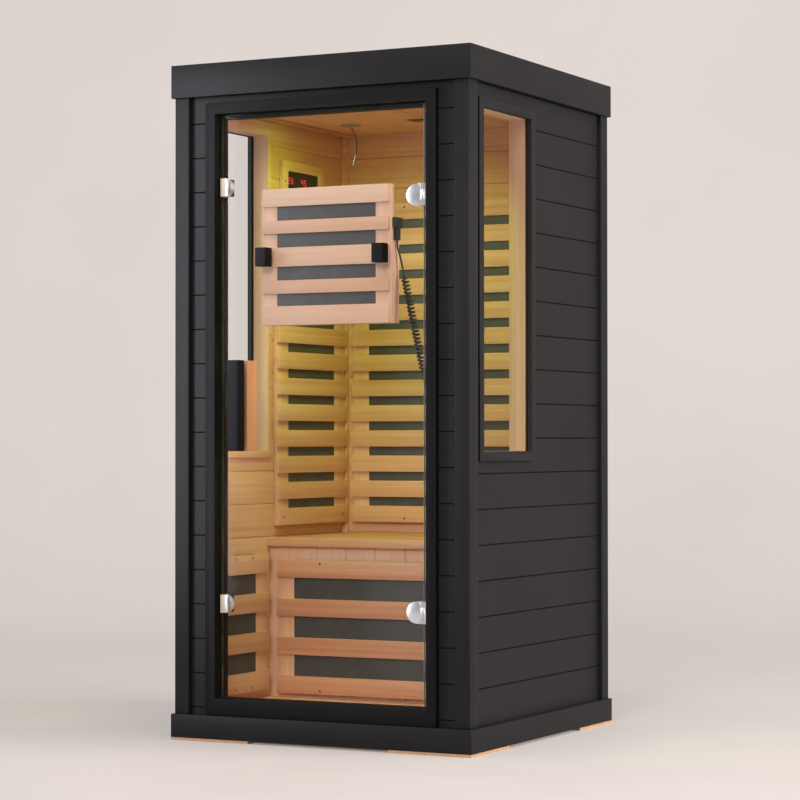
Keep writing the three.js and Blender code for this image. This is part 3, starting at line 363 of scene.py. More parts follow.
def studio_paper():
    finish, tree, shader, place = new_finish("studio_paper")
    scuffs = add(tree, "ShaderNodeTexNoise", {"Vector": place, "Scale": 1 / (SCUFF_MM * MM), "Detail": 6.0})
    colour = add(tree, "ShaderNodeValToRGB", {"Fac": scuffs.outputs["Fac"]},
                 [(0.3, "#b8b3b0"), (0.7, "#beb9b6")])
    rays = add(tree, "ShaderNodeLightPath")
    straight = add(tree, "ShaderNodeMath", {
        0: rays.outputs["Is Camera Ray"], 1: rays.outputs["Is Glossy Ray"]}, operation="MAXIMUM")
    seen = add(tree, "ShaderNodeMath", {0: straight.outputs[0], 1: rays.outputs["Is Transmission Ray"]},
               operation="MAXIMUM")
    depth = add(tree, "ShaderNodeSeparateXYZ", {"Vector": place})
    lift = add(tree, "ShaderNodeMapRange", {
        "Value": depth.outputs["Y"], "From Min": 0.0, "From Max": SWEEP_START + SWEEP_RADIUS,
        "To Min": FLOOR_LIFT, "To Max": WALL_LIFT})
    glow = add(tree, "ShaderNodeMath", {0: lift.outputs["Result"], 1: seen.outputs[0]}, operation="MULTIPLY")
    sheet = add(tree, "ShaderNodeNewGeometry")
    facing = add(tree, "ShaderNodeMath", {0: 1.0, 1: sheet.outputs["Backfacing"]}, operation="SUBTRACT")
    feed(shader, {"Base Color": colour.outputs["Color"], "Roughness": 0.75, "Specular IOR Level": 0.2,
                  "Emission Color": linear("#f2eae7"), "Emission Strength": glow.outputs[0],
                  "Alpha": facing.outputs[0]})
    return finish


def studio_sweep():
    bm = bmesh.new()
    profile = [(-STAGE_HALF, 0.0), (SWEEP_START, 0.0)]
    for step in range(1, SWEEP_STEPS + 1):
        angle = math.pi / 2 * step / SWEEP_STEPS
        profile.append((SWEEP_START + SWEEP_RADIUS * math.sin(angle), SWEEP_RADIUS * (1 - math.cos(angle))))
    profile.append((SWEEP_START + SWEEP_RADIUS, WALL_TOP))
    rows = [[bm.verts.new((x, y, z)) for y, z in profile] for x in (-STAGE_HALF, STAGE_HALF)]
    for k in range(len(profile) - 1):
        face = bm.faces.new((rows[0][k], rows[1][k], rows[1][k + 1], rows[0][k + 1]))
        face.smooth = True
    mesh = bpy.data.meshes.new("studio_sweep")
    bm.to_mesh(mesh)
    bm.free()
    mesh.materials.append(studio_paper())
    sweep = bpy.data.objects.new("studio_sweep", mesh)
    sweep.rotation_euler.z = -CAMERA_YAW
    bpy.context.scene.collection.objects.link(sweep)


studio_sweep()
print("studio floor ready")

# %% [markdown]
# ## Studio lamps
# Each soft box has a place, a point it looks at, a width and height in metres, a power in watts and a colour.
# The strip at the left stands close by and only makes a sheen on the paint.

# %% Studio lamps
AIR_STRENGTH = 0.29
SOFT_BOXES = [
    ("overhead_soft_box", (0.5, -1.5, 4.6), (0, 0, 0.6), (4.5, 4.5), 120, "#fffaf4"),
    ("right_soft_box", (5.2, 0.6, 2.2), (0, 0, 1.0), (2.4, 3.2), 235, "#fff8f2"),
    ("front_soft_box", (1.4, -5.8, 3.0), (0, 0, 0.7), (1.8, 1.6), 120, "#fffaf6"),
]
SHEEN_STRIP = ("left_strip_box", (-0.82, -1.11, 1.2), (-0.42, -0.48, 1.1), (0.25, 1.8), 20, "#f0f3ff")


def area_lamp(name, place, target, size, watts, colour):
    data = bpy.data.lights.new(name, "AREA")
    data.shape = "RECTANGLE"
    data.size, data.size_y = size
    data.energy = watts
    data.color = linear(colour)[:3]
    lamp = bpy.data.objects.new(name, data)
    lamp.location = place
    lamp.rotation_euler = (Vector(target) - Vector(place)).to_track_quat("-Z", "Y").to_euler()
    lamp.visible_camera = False
    bpy.context.scene.collection.objects.link(lamp)
    return lamp


def studio_light():
    world = bpy.data.worlds.new("studio_air")
    bpy.context.scene.world = world
    world.use_nodes = True
    feed(world.node_tree.nodes["Background"], {"Color": linear("#efeae6"), "Strength": AIR_STRENGTH})
    for soft_box in SOFT_BOXES:
        area_lamp(*soft_box)
    area_lamp(*SHEEN_STRIP).visible_diffuse = False


studio_light()
print("studio lamps:", [lamp.name for lamp in bpy.data.lights])

# %% [markdown]
# ## Painted boards
# The outside is softwood board with a satin black paint. The paint is thin, so the grain still shows as long
# shallow ridges, and the light that grazes the board breaks up along them. The grain runs along each board.

# %% Black painted wood
GRAIN_ACROSS_MM = 5.0
GRAIN_ALONG_MM = 260.0
CLOUD_MM = 180.0
WORN_SHARE = 0.25
PAINT_GLOSS = 0.2
CASING_GLOSS = 0.12
PAINT_TONES = ("#161617", "#1c1b1d", "#232224")
CASING_TONES = ("#0f0f10", "#141415", "#19181a")


def stretched(tree, place, along, across_mm, along_mm):
    # A place vector in which one unit is a grain width across the board and a long stretch along it
    scale = [1 / (across_mm * MM)] * 3
    scale["XYZ".index(along)] = 1 / (along_mm * MM)
    return add(tree, "ShaderNodeMapping", {"Vector": place, "Scale": scale}).outputs["Vector"]


def black_painted_wood(name, along, gloss, dark, mid, light):
    # Satin paint on planed softwood: dark, a soft sheen, and faint ridges drawn coarser than life to show
    finish, tree, shader, place = new_finish(name)
    fibres = add(tree, "ShaderNodeTexNoise", {
        "Vector": stretched(tree, place, along, GRAIN_ACROSS_MM, GRAIN_ALONG_MM), "Scale": 1.0, "Detail": 4.0,
        "Roughness": 0.6})
    clouds = add(tree, "ShaderNodeTexNoise", {"Vector": place, "Scale": 1 / (CLOUD_MM * MM), "Detail": 2.0})
    grain = add(tree, "ShaderNodeValToRGB", {"Fac": fibres.outputs["Fac"]},
                [(0.25, dark), (0.55, mid), (0.8, light)])
    worn = add(tree, "ShaderNodeValToRGB", {"Fac": clouds.outputs["Fac"]}, [(0.35, dark), (0.65, light)])
    shade = add(tree, "ShaderNodeMix", {
        "Factor": WORN_SHARE, "A": grain.outputs["Color"], "B": worn.outputs["Color"]}, data_type="RGBA")
    sheen = add(tree, "ShaderNodeMapRange", {"Value": fibres.outputs["Fac"], "To Min": 0.5, "To Max": 0.64})
    ridges = add(tree, "ShaderNodeBump", {
        "Height": fibres.outputs["Fac"], "Strength": 0.15, "Distance": 0.5 * MM})
    feed(shader, {"Base Color": shade.outputs["Result"], "Roughness": sheen.outputs["Result"],
                  "Normal": ridges.outputs["Normal"], "IOR": 1.5, "Specular IOR Level": gloss})
    return finish


paint_x = black_painted_wood("satin_paint_on_boards_x", "X", PAINT_GLOSS, *PAINT_TONES)
paint_y = black_painted_wood("satin_paint_on_boards_y", "Y", PAINT_GLOSS, *PAINT_TONES)
paint_z = black_painted_wood("satin_paint_on_posts", "Z", PAINT_GLOSS, *PAINT_TONES)
paint_casing = black_painted_wood("satin_paint_on_casings", "Z", CASING_GLOSS, *CASING_TONES)
print("paints:", paint_x.name, paint_y.name, paint_z.name, paint_casing.name)

# %% Painted pieces
EDGE_ROUND = 1.5
CASING_ROUND = 1.3
dress(["front_boards", "back_boards"], paint_x)
dress(["side_boards_left", "side_boards_right"], paint_y)
PAINTED = [
    ("post_front_left", paint_z, EDGE_ROUND), ("post_front_right", paint_z, EDGE_ROUND),
    ("window_casing_left", paint_z, CASING_ROUND), ("window_casing_right", paint_z, CASING_ROUND),
    ("door_casing", paint_casing, CASING_ROUND), ("handle_outer", paint_casing, CASING_ROUND),
    ("heater_block_left", paint_casing, EDGE_ROUND), ("heater_block_right", paint_casing, EDGE_ROUND),
    ("base_plinth", paint_x, EDGE_ROUND), ("roof_cap", paint_x, EDGE_ROUND),
]
for painted, paint, rounding in PAINTED:
    rounded_copy(painted, paint, rounding)
print("painted pieces dressed")

# %% [markdown]
# ## Natural softwood
# The inside is planed hemlock with no varnish: a pale pinkish tan, straight close grain, and a shift of tone
# from board to board because each plank comes from another tree. Bands of darker late wood run along it.

# %% Hemlock
LATE_WOOD_MM = 14.0
LATE_WOOD_ALONG_MM = 900.0
FIBRE_MM = 4.0
FIBRE_ALONG_MM = 160.0
HEMLOCK = ("#efc7a6", "#e6b590", "#d49d77")
SALMON = ("#f3cfb3", "#ecbf9f", "#e3ae8e")
TANNED = ("#e4b48d", "#d9a277", "#c78d64")
ROSY = ("#e2ae8b", "#d89d79", "#ca8c6a")
HANDLE_TONES = ("#d79a6c", "#cb8c5e", "#bb7c50")
BOARD_MM = 96.5
SLAT_PITCH_MM = 77.6
BENCH_PITCH_MM = 113.0
CALF_PITCH_MM = 113.5
DOOR_PITCH_MM = 81.6
ONE_PLANK_MM = 400.0
# How much of the tone changes from plank to plank
PLANK_SHARE = 0.4
DOOR_PLANK_SHARE = 0.7
APRON_PLANK_SHARE = 0.6


def hemlock(name, along, across, plank_mm, tones=HEMLOCK, plank_share=PLANK_SHARE):
    # Planed hemlock: matt, with long late-wood bands; the fibres are drawn wider than life so they show
    pale, mid, deep = tones
    finish, tree, shader, place = new_finish(name)
    axes = add(tree, "ShaderNodeSeparateXYZ", {"Vector": place})
    count = add(tree, "ShaderNodeMath", {0: axes.outputs[across], 1: 1 / (plank_mm * MM)},
                operation="MULTIPLY")
    plank = add(tree, "ShaderNodeMath", {0: count.outputs[0]}, operation="FLOOR")
    chance = add(tree, "ShaderNodeTexWhiteNoise", {"W": plank.outputs[0]}, noise_dimensions="1D")
    shift = add(tree, "ShaderNodeVectorMath", {0: place, 1: chance.outputs["Color"]}, operation="ADD")
    bands = add(tree, "ShaderNodeTexNoise", {
        "Vector": stretched(tree, shift.outputs["Vector"], along, LATE_WOOD_MM, LATE_WOOD_ALONG_MM),
        "Scale": 1.0, "Detail": 3.0, "Distortion": 0.4})
    fibres = add(tree, "ShaderNodeTexNoise", {
        "Vector": stretched(tree, shift.outputs["Vector"], along, FIBRE_MM, FIBRE_ALONG_MM),
        "Scale": 1.0, "Detail": 4.0})
    grain = add(tree, "ShaderNodeValToRGB", {"Fac": bands.outputs["Fac"]},
                [(0.25, pale), (0.52, mid), (0.8, deep)])
    tone = add(tree, "ShaderNodeValToRGB", {"Fac": chance.outputs["Value"]},
               [(0.0, pale), (0.5, mid), (1.0, deep)])
    mixed = add(tree, "ShaderNodeMix", {"Factor": plank_share, "A": grain.outputs["Color"],
                                        "B": tone.outputs["Color"]}, data_type="RGBA")
    streak = add(tree, "ShaderNodeMapRange", {
        "Value": fibres.outputs["Fac"], "From Min": 0.3, "From Max": 0.7, "To Min": 0.94, "To Max": 1.04})
    lit = add(tree, "ShaderNodeVectorMath", {0: mixed.outputs["Result"], "Scale": streak.outputs["Result"]},
              operation="SCALE")
    relief = add(tree, "ShaderNodeBump", {
        "Height": fibres.outputs["Fac"], "Strength": 0.1, "Distance": 0.4 * MM})
    feed(shader, {"Base Color": lit.outputs["Vector"], "Roughness": 0.62, "IOR": 1.5,
                  "Normal": relief.outputs["Normal"]})
    return finish


wood_side = hemlock("hemlock_boards_along_y", "Y", "Z", BOARD_MM)
wood_front = hemlock("hemlock_boards_along_x", "X", "Z", BOARD_MM)
wood_floor = hemlock("hemlock_floor", "Y", "X", BOARD_MM)
wood_bench = hemlock("hemlock_bench", "X", "Y", BOARD_MM, TANNED)
slats_back = hemlock("hemlock_slats_along_x", "X", "Z", SLAT_PITCH_MM)
slats_side = hemlock("hemlock_slats_along_y", "Y", "Z", SLAT_PITCH_MM)
slats_low = hemlock("hemlock_low_slats", "X", "Z", BENCH_PITCH_MM, ROSY)
slats_calf = hemlock("hemlock_calf_slats", "Y", "Z", CALF_PITCH_MM)
slats_door = hemlock("hemlock_door_slats", "X", "Z", DOOR_PITCH_MM, SALMON, DOOR_PLANK_SHARE)
stiles = hemlock("hemlock_stiles", "Z", "X", ONE_PLANK_MM)
stiles_door = hemlock("hemlock_door_stiles", "Z", "X", ONE_PLANK_MM, SALMON)
handle_wood = hemlock("hemlock_handle", "Z", "X", ONE_PLANK_MM, HANDLE_TONES)
apron_boards = hemlock("hemlock_apron_boards", "Z", "X", BOARD_MM, SALMON, APRON_PLANK_SHARE)
print("woods ready")

# %% Wooden pieces
SLAT_T = 8.0
SLAT_SLACK = 0.5
END_FACING = 0.9
LINING_ROUND = 0.8
BENCH_ROUND = 1.2
DOOR_SLAT_ROUND = 2.2
# The axis that a guard's face looks along, and which way
TO_FRONT = (1, -1)
TO_RIGHT = (0, 1)
TO_LEFT = (0, -1)


def behind_slats(node, facing):
    # Picks the faces of a guard that lie deeper than its slats: those of the upright stiles
    axis, sign = facing
    low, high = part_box(node)
    front = high[axis] if sign > 0 else low[axis]
    return lambda face: sign * (front - face.calc_center_median()[axis]) > (SLAT_T - SLAT_SLACK) * MM


def end_grain(face):
    return abs(face.normal.y) > END_FACING


def guard(node, finish, stile_finish, facing, radius_mm):
    rounded_copy(node, finish, radius_mm, second=stile_finish,
                 takes_second=behind_slats(node, facing))


for side in ("left", "right"):
    rounded_copy(f"side_lining_{side}", wood_side, LINING_ROUND, second=stiles,
                 takes_second=end_grain)
dress(["front_lining", "back_lining"], wood_front)
dress(["floor_boards", "ceiling_panel"], wood_floor)
dress(["bench_apron"], apron_boards)
guard("back_heater_guard", slats_back, stiles, TO_FRONT, EDGE_ROUND)
guard("left_heater_guard", slats_side, stiles, TO_RIGHT, EDGE_ROUND)
guard("right_heater_guard", slats_side, stiles, TO_LEFT, EDGE_ROUND)
guard("bench_heater_guard", slats_low, stiles, TO_FRONT, EDGE_ROUND)
guard("calf_left_guard", slats_calf, stiles, TO_RIGHT, EDGE_ROUND)
guard("calf_right_guard", slats_calf, stiles, TO_LEFT, EDGE_ROUND)
guard("door_heater_guard", slats_door, stiles_door, TO_FRONT, DOOR_SLAT_ROUND)
rounded_copy("handle_inner", handle_wood, EDGE_ROUND)
rounded_copy("control_bezel", wood_side, EDGE_ROUND)
rounded_copy("bench_top", wood_bench, BENCH_ROUND)
print("wood dressed")

# %% [markdown]
# ## Heating panels
# Behind the slats lie flat heating panels: a carbon film pressed into a dark laminate. The surface is dull,
# with the fine weave of the cloth showing through. It is drawn coarser than life so that it shows.

# %% Heating panels
WEAVE_MM = 6.0
DUST_MM = 40.0
FILM_SHARE = 0.4


def carbon_laminate():
    finish, tree, shader, place = new_finish("carbon_film_laminate")
    weave = add(tree, "ShaderNodeTexChecker", {
        "Vector": place, "Scale": 1 / (WEAVE_MM * MM),
        "Color1": linear("#4b4b4b"), "Color2": linear("#535353")})
    dust = add(tree, "ShaderNodeTexNoise", {"Vector": place, "Scale": 1 / (DUST_MM * MM), "Detail": 3.0})
    film = add(tree, "ShaderNodeValToRGB", {"Fac": dust.outputs["Fac"]}, [(0.3, "#474747"), (0.7, "#5a5a59")])
    colour = add(tree, "ShaderNodeMix", {
        "Factor": FILM_SHARE, "A": weave.outputs["Color"], "B": film.outputs["Color"]}, data_type="RGBA")
    feed(shader, {"Base Color": colour.outputs["Result"], "Roughness": 0.5, "Specular IOR Level": 0.35})
    return finish


laminate = carbon_laminate()
OTHER_PANELS = ("ceiling_panel", "control_panel")
heating_panels = [n for n in frame["nodes"] if n.endswith("_panel") and n not in OTHER_PANELS]
dress(heating_panels, laminate)
print("heating panels:", heating_panels)

# %% [markdown]
# ## Glass
# The door and the windows are clear toughened glass. Light passes almost straight through a flat pane, so it
# is made see-through with a gloss on top, stronger where it is seen aslant. The polished edges carry painted
# light: the edge at the hinges is pale green-white, a painted highlight; the others show the green of the
# glass, darkened by painted shade.

# %% Glass and its edges
EDGE_SKIN = 0.4
GLASS_IOR = 1.52
SLANT_POWER = 5.0
SLANT_COVER = 0.6
DOOR_COVER = 0.025
WINDOW_COVER = 0.03
RIPPLE_MM = 350.0
# Size of the painted glints on the glass edges
PAINTED_GLINT_MM = 60.0


def clear_glass(name, cover):
    finish, tree, shader, place = new_finish(name)
    ripple = add(tree, "ShaderNodeTexNoise", {"Vector": place, "Scale": 1 / (RIPPLE_MM * MM), "Detail": 1.0})
    tint = add(tree, "ShaderNodeValToRGB", {"Fac": ripple.outputs["Fac"]},
               [(0.3, "#3b4741"), (0.7, "#46524b")])
    slant = add(tree, "ShaderNodeLayerWeight", {"Blend": 0.5})
    rise = add(tree, "ShaderNodeMath", {0: slant.outputs["Facing"], 1: SLANT_POWER}, operation="POWER")
    veil = add(tree, "ShaderNodeMapRange", {"Value": rise.outputs[0], "To Min": cover, "To Max": SLANT_COVER})
    feed(shader, {"Base Color": tint.outputs["Color"], "Alpha": veil.outputs["Result"], "Roughness": 0.02,
                  "IOR": GLASS_IOR})
    return finish


def polished_edge(name, dark, light):
    finish, tree, shader, place = new_finish(name)
    # Painted glints: a noise moves the edge's colour between its dark and its light tone
    painted_glints = add(tree, "ShaderNodeTexNoise", {"Vector": place, "Scale": 1 / (PAINTED_GLINT_MM * MM), "Detail": 2.0})
    colour = add(tree, "ShaderNodeValToRGB", {"Fac": painted_glints.outputs["Fac"]}, [(0.3, dark), (0.7, light)])
    feed(shader, {"Base Color": colour.outputs["Color"], "Roughness": 0.12, "IOR": GLASS_IOR})
    return finish


def block(bm, low, high):
    corners = []
    for x in (low[0], high[0]):
        for y in (low[1], high[1]):
            for z in (low[2], high[2]):
                corners.append(bm.verts.new((x, y, z)))
    for face in ((0, 1, 3, 2), (4, 6, 7, 5), (0, 4, 5, 1), (2, 3, 7, 6), (0, 2, 6, 4), (1, 5, 7, 3)):
        bm.faces.new([corners[k] for k in face])


def door_edges():
    # The edge at the hinges is pale: a painted highlight.
    # The others show the green of the glass, darkened by painted shade.
    low, high = (np.array(corner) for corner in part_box("door_glass"))
    skin = EDGE_SKIN * MM
    bright = bmesh.new()
    block(bright, (high[0], low[1], low[2]), (high[0] + skin, high[1], high[2]))
    # The pale colour on the hinge edge is a painted highlight
    painted_highlight_edge = polished_edge("glass_edge_painted_highlight", "#c3ccbc", "#e3e6d8")
    make_piece("door_glass_edge_painted_highlight", bright, painted_highlight_edge, "door")
    green = bmesh.new()
    block(green, (low[0] - skin, low[1], low[2]), (low[0], high[1], high[2]))
    block(green, (low[0], low[1], low[2] - skin), (high[0], high[1], low[2]))
    block(green, (low[0], low[1], high[2]), (high[0], high[1], high[2] + skin))
    # The dark green on the other edges is the glass's own green with painted shade
    green_edge = polished_edge("green_glass_edge_painted_shade", "#35443a", "#56665a")
    make_piece("door_glass_edge_painted_shade", green, green_edge, "door")


dress(["door_glass"], clear_glass("toughened_door_glass", DOOR_COVER))
dress(["window_glass_left", "window_glass_right"], clear_glass("toughened_window_glass", WINDOW_COVER))
door_edges()
print("glass ready")

# %% [markdown]
# ## Metal and plastic
# The hinges and the strikes are zinc castings with bright chrome. The probe, the push buttons and the power
# box are plain steel. The plug, the gland and the magnets are moulded plastic with a fine spark-eroded skin.

# %% Metal and plastic
HAZE_MM = 15.0
BRUSH_MM = 2.0
BRUSH_ALONG_MM = 80.0
SPARK_MM = 2.5


def chrome_plate():
    # Chrome over a polished casting: a bright mirror, a little hazy from handling
    finish, tree, shader, place = new_finish("chromed_zinc")
    haze = add(tree, "ShaderNodeTexNoise", {"Vector": place, "Scale": 1 / (HAZE_MM * MM), "Detail": 3.0})
    rough = add(tree, "ShaderNodeMapRange", {"Value": haze.outputs["Fac"], "To Min": 0.24, "To Max": 0.36})
    colour = add(tree, "ShaderNodeValToRGB", {"Fac": haze.outputs["Fac"]},
                 [(0.3, "#dadbe1"), (0.7, "#e8e9ee")])
    feed(shader, {
        "Base Color": colour.outputs["Color"], "Roughness": rough.outputs["Result"], "Metallic": 1.0})
    return finish


def brushed_steel():
    # Brushed steel: fine lines along the piece spread the light; drawn 2 mm apart so that they show
    finish, tree, shader, place = new_finish("brushed_steel")
    lines = add(tree, "ShaderNodeTexNoise", {
        "Vector": stretched(tree, place, "X", BRUSH_MM, BRUSH_ALONG_MM), "Scale": 1.0, "Detail": 3.0})
    rough = add(tree, "ShaderNodeMapRange", {"Value": lines.outputs["Fac"], "To Min": 0.28, "To Max": 0.45})
    colour = add(tree, "ShaderNodeValToRGB", {"Fac": lines.outputs["Fac"]},
                 [(0.3, "#9a9a97"), (0.7, "#bcbcb8")])
    feed(shader, {
        "Base Color": colour.outputs["Color"], "Roughness": rough.outputs["Result"], "Metallic": 1.0})
    return finish


def moulded_plastic(name, low, high, roughness):
    # Injection-moulded ABS with a spark-eroded skin, drawn coarser than life
    finish, tree, shader, place = new_finish(name)
    grain = add(tree, "ShaderNodeTexNoise", {"Vector": place, "Scale": 1 / (SPARK_MM * MM), "Detail": 2.0})
    colour = add(tree, "ShaderNodeValToRGB", {"Fac": grain.outputs["Fac"]}, [(0.3, low), (0.7, high)])
    relief = add(tree, "ShaderNodeBump", {
        "Height": grain.outputs["Fac"], "Strength": 0.12, "Distance": 0.2 * MM})
    feed(shader, {"Base Color": colour.outputs["Color"], "Roughness": roughness,
                  "Normal": relief.outputs["Normal"]})
    return finish


chrome = chrome_plate()
steel = brushed_steel()
abs_black = moulded_plastic("moulded_black_abs", "#19191b", "#242426", roughness=0.42)
abs_ivory = moulded_plastic("moulded_ivory_abs", "#e2cbb6", "#ecd8c5", roughness=0.38)
smoked_acrylic = moulded_plastic("smoked_acrylic", "#1c1b19", "#23221f", roughness=0.22)
print("metals and plastics ready")

# %% Metal and plastic pieces
CAST_ROUND = 0.9
PLUG_ROUND = 1.2
for node in ("hinge_clamp_top", "hinge_clamp_bottom", "strike_top", "strike_bottom"):
    rounded_copy(node, chrome, CAST_ROUND)
dress(["hinge_leaf_top", "hinge_leaf_bottom"], chrome)
dress(["power_box", "control_button_power", "control_button_light", "sensor_probe"], steel)
dress(["magnet_top", "magnet_bottom", "cord_gland"], abs_black)
dress(["control_panel"], smoked_acrylic)
rounded_copy("cord_plug", abs_black, PLUG_ROUND)
print("metal and plastic dressed")

# %% [markdown]
# ## Hinge bosses
# Between its two outer knuckles each hinge leaf has a boss that fills the corner up to the casing, so that
# the hinge looks like one block when the door is closed. The boss stays on the casing and clears the clamp.

# %% Hinge bosses
PIVOT_X = 311.5
KNUCKLE_R = 6.5
BOSS_SHARE = 0.44
BOSS_CLEAR = 0.6
BOSS_FROM_CASING = 1.0
BOSS_BACK = 0.8
BOSS_ROUND = 0.5


def hinge_boss(which):
    low, high = (np.array(corner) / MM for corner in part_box(f"hinge_leaf_{which}"))
    middle = (low[2] + high[2]) / 2
    half = BOSS_SHARE * (high[2] - low[2]) / 2
    bm = bmesh.new()
    block(bm, np.array((PIVOT_X + KNUCKLE_R + BOSS_CLEAR, low[1] + BOSS_CLEAR, middle - half)) * MM,
          np.array((high[0] - BOSS_FROM_CASING, low[1] + KNUCKLE_R - BOSS_BACK, middle + half)) * MM)
    round_edges(bm, bm.edges[:], BOSS_ROUND)
    make_piece(f"hinge_boss_{which}", bm, chrome, "cabin")


for which in ("top", "bottom"):
    hinge_boss(which)
print("hinge bosses ready")

# %% [markdown]
# ## Strike covers
# On the outside of the glass each strike carries a small ivory cover, snapped over the chrome lip.

# %% Strike covers
COVER_T = 0.5
LIP_W = 17.0
LIP_H = 53.0
COVER_INSET = 1.0
COVER_START = 0.8
COVER_SEAT = 0.3
COVER_ROUND = 0.3


def strike_cover(which):
    low, high = (np.array(corner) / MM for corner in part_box(f"strike_{which}"))
    middle = (low[2] + high[2]) / 2
    bm = bmesh.new()
    half = LIP_H / 2 - COVER_INSET
    block(bm, np.array((low[0] + COVER_START, low[1] - COVER_T, middle - half)) * MM,
          np.array((low[0] + LIP_W - COVER_INSET, low[1] + COVER_SEAT, middle + half)) * MM)
    round_edges(bm, bm.edges[:], COVER_ROUND)
    make_piece(f"strike_cover_{which}", bm, abs_ivory, "door")


for which in ("top", "bottom"):
    strike_cover(which)
print("strike covers ready")

# %% [markdown]
# ## Bottom board and corner pads
# The cabin stands on thin tan pads under a brown sheet board that shows only as an edge below the plinth.

# %% Bottom board
PAD_T = 8.0
CHIP_MM = 9.0


def sheet_board():
    # Chipboard: pressed flakes, brown; the pads are plain softwood offcuts, so they are tan
    finish, tree, shader, place = new_finish("brown_sheet_board")
    chips = add(tree, "ShaderNodeTexVoronoi", {"Vector": place, "Scale": 1 / (CHIP_MM * MM)})
    board = add(tree, "ShaderNodeValToRGB", {"Fac": chips.outputs["Distance"]},
                [(0.1, "#4d2a18"), (0.8, "#6d4127")])
    pad = add(tree, "ShaderNodeValToRGB", {"Fac": chips.outputs["Distance"]},
              [(0.1, "#d39f74"), (0.8, "#e2b48c")])
    height = add(tree, "ShaderNodeSeparateXYZ", {"Vector": place})
    above = add(tree, "ShaderNodeMath", {0: height.outputs["Z"], 1: PAD_T * MM}, operation="GREATER_THAN")
    colour = add(tree, "ShaderNodeMix", {"Factor": above.outputs[0], "A": pad.outputs["Color"],
                                         "B": board.outputs["Color"]}, data_type="RGBA")
    feed(shader, {"Base Color": colour.outputs["Result"], "Roughness": 0.75})
    return finish


dress(["bottom_board"], sheet_board())
print("bottom board dressed")

# %% [markdown]
# ## Screws
# The slatted guards and the bezel are held by dark screws. A screw head is a shallow disc with a slanted rim,
# so small in the picture that the eye picks up only a dark dot.

# %% Screws
SCREW_R = 3.2
SCREW_T = 0.5
SCREW_RIM = 0.8
SCREW_SIDES = 14
FLECK_MM = 1.5
# Each guard, the way it faces, and how far its screws lie from its ends and from its top and bottom
SCREWED = [
    ("back_heater_guard", TO_FRONT, 182, 12), ("left_heater_guard", TO_RIGHT, 30, 25),
    ("right_heater_guard", TO_LEFT, 30, 25), ("bench_heater_guard", TO_FRONT, 145, 10),
    ("calf_left_guard", TO_RIGHT, 96, 10), ("calf_right_guard", TO_LEFT, 96, 10),
    ("control_bezel", TO_RIGHT, 10, 64),
]


def screw_head(bm, place, out):
    # A flat-topped disc whose face looks level along out
    out = Vector(out)
    up = Vector((0, 0, 1))
    side = out.cross(up)
    centre = Vector(place) * MM
    rings = []
    for radius, rise in ((SCREW_R, 0.0), (SCREW_R, 0.5 * SCREW_T), (SCREW_RIM * SCREW_R, SCREW_T)):
        ring = []
        for k in range(SCREW_SIDES):
            angle = 2 * math.pi * k / SCREW_SIDES
            spoke = side * math.cos(angle) + up * math.sin(angle)
            ring.append(bm.verts.new(centre + (spoke * radius + out * rise) * MM))
        rings.append(ring)
    join_rings(bm, rings)


def guard_screws(bm, node, facing, from_end, from_rail):
    # One screw near each corner of a guard; where they meet at half height, one at each end
    axis, sign = facing
    low, high = (np.array(corner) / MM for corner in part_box(node))
    face = high[axis] if sign > 0 else low[axis]
    run = 1 - axis
    out = [0.0, 0.0, 0.0]
    out[axis] = sign
    for along in (low[run] + from_end, high[run] - from_end):
        for z in sorted({round(low[2] + from_rail, 2), round(high[2] - from_rail, 2)}):
            place = [0.0, 0.0, z]
            place[axis] = face
            place[run] = along
            screw_head(bm, place, out)


def blackened_steel():
    # Blackened screws: dark, dull metal with worn brighter flecks
    finish, tree, shader, place = new_finish("blackened_steel")
    flecks = add(tree, "ShaderNodeTexNoise", {"Vector": place, "Scale": 1 / (FLECK_MM * MM), "Detail": 2.0})
    colour = add(tree, "ShaderNodeValToRGB", {"Fac": flecks.outputs["Fac"]},
                 [(0.4, "#2e2a26"), (0.75, "#5a544d")])
    feed(shader, {"Base Color": colour.outputs["Color"], "Metallic": 0.6, "Roughness": 0.5})
    return finish


screws = bmesh.new()
for screwed in SCREWED:
    guard_screws(screws, *screwed)
make_piece("guard_screws", screws, blackened_steel(), "cabin")
print("screws ready")

# %% [markdown]
# ## Ceiling fittings
# A round rose covers the hole where the sensor's lead comes through. At the air vent a thin black plate is
# painted shadow, and a thin pale strip is a painted highlight for the lit edge of a cover on the ceiling.
# A flat board covers the joint of the ceiling with each side wall.

# %% Ceiling fittings
ROSE = (-240.0, 160.0)
ROSE_R = 32.0
ROSE_T = 3.0
ROSE_RIM = 0.86
ROSE_SIDES = 40
LEAD_HOLE_R = 2.2
# At the air vent: a thin black plate that is painted shadow, standing for the dark gap
VENT_SHADOW = ((-32.0, 116.0), (128.0, 172.0))
VENT_SHADOW_T = 1.2
# A thin pale strip that is a painted highlight, standing for the lit edge of a ceiling cover
HIGHLIGHT_STRIP = ((40.0, -107.0), (44.0, 13.0))
HIGHLIGHT_STRIP_T = 3.0
CORNICE_LEFT = ((-398.5, -395.0), (-356.0, 400.0))
CORNICE_RIGHT = ((356.0, -395.0), (398.5, 400.0))
CORNICE_T = 7.0
CORNICE_TONES = ("#d59f79", "#c98c66", "#b87b58")
PLATE_ROUND_SHARE = 0.25
# The radius of each ring of the rose and how far it hangs below the ceiling
ROSE_RINGS = ((ROSE_R, 0.0), (ROSE_R, 0.5 * ROSE_T), (ROSE_RIM * ROSE_R, ROSE_T), (LEAD_HOLE_R, ROSE_T))
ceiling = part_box("ceiling_panel")[0][2] / MM


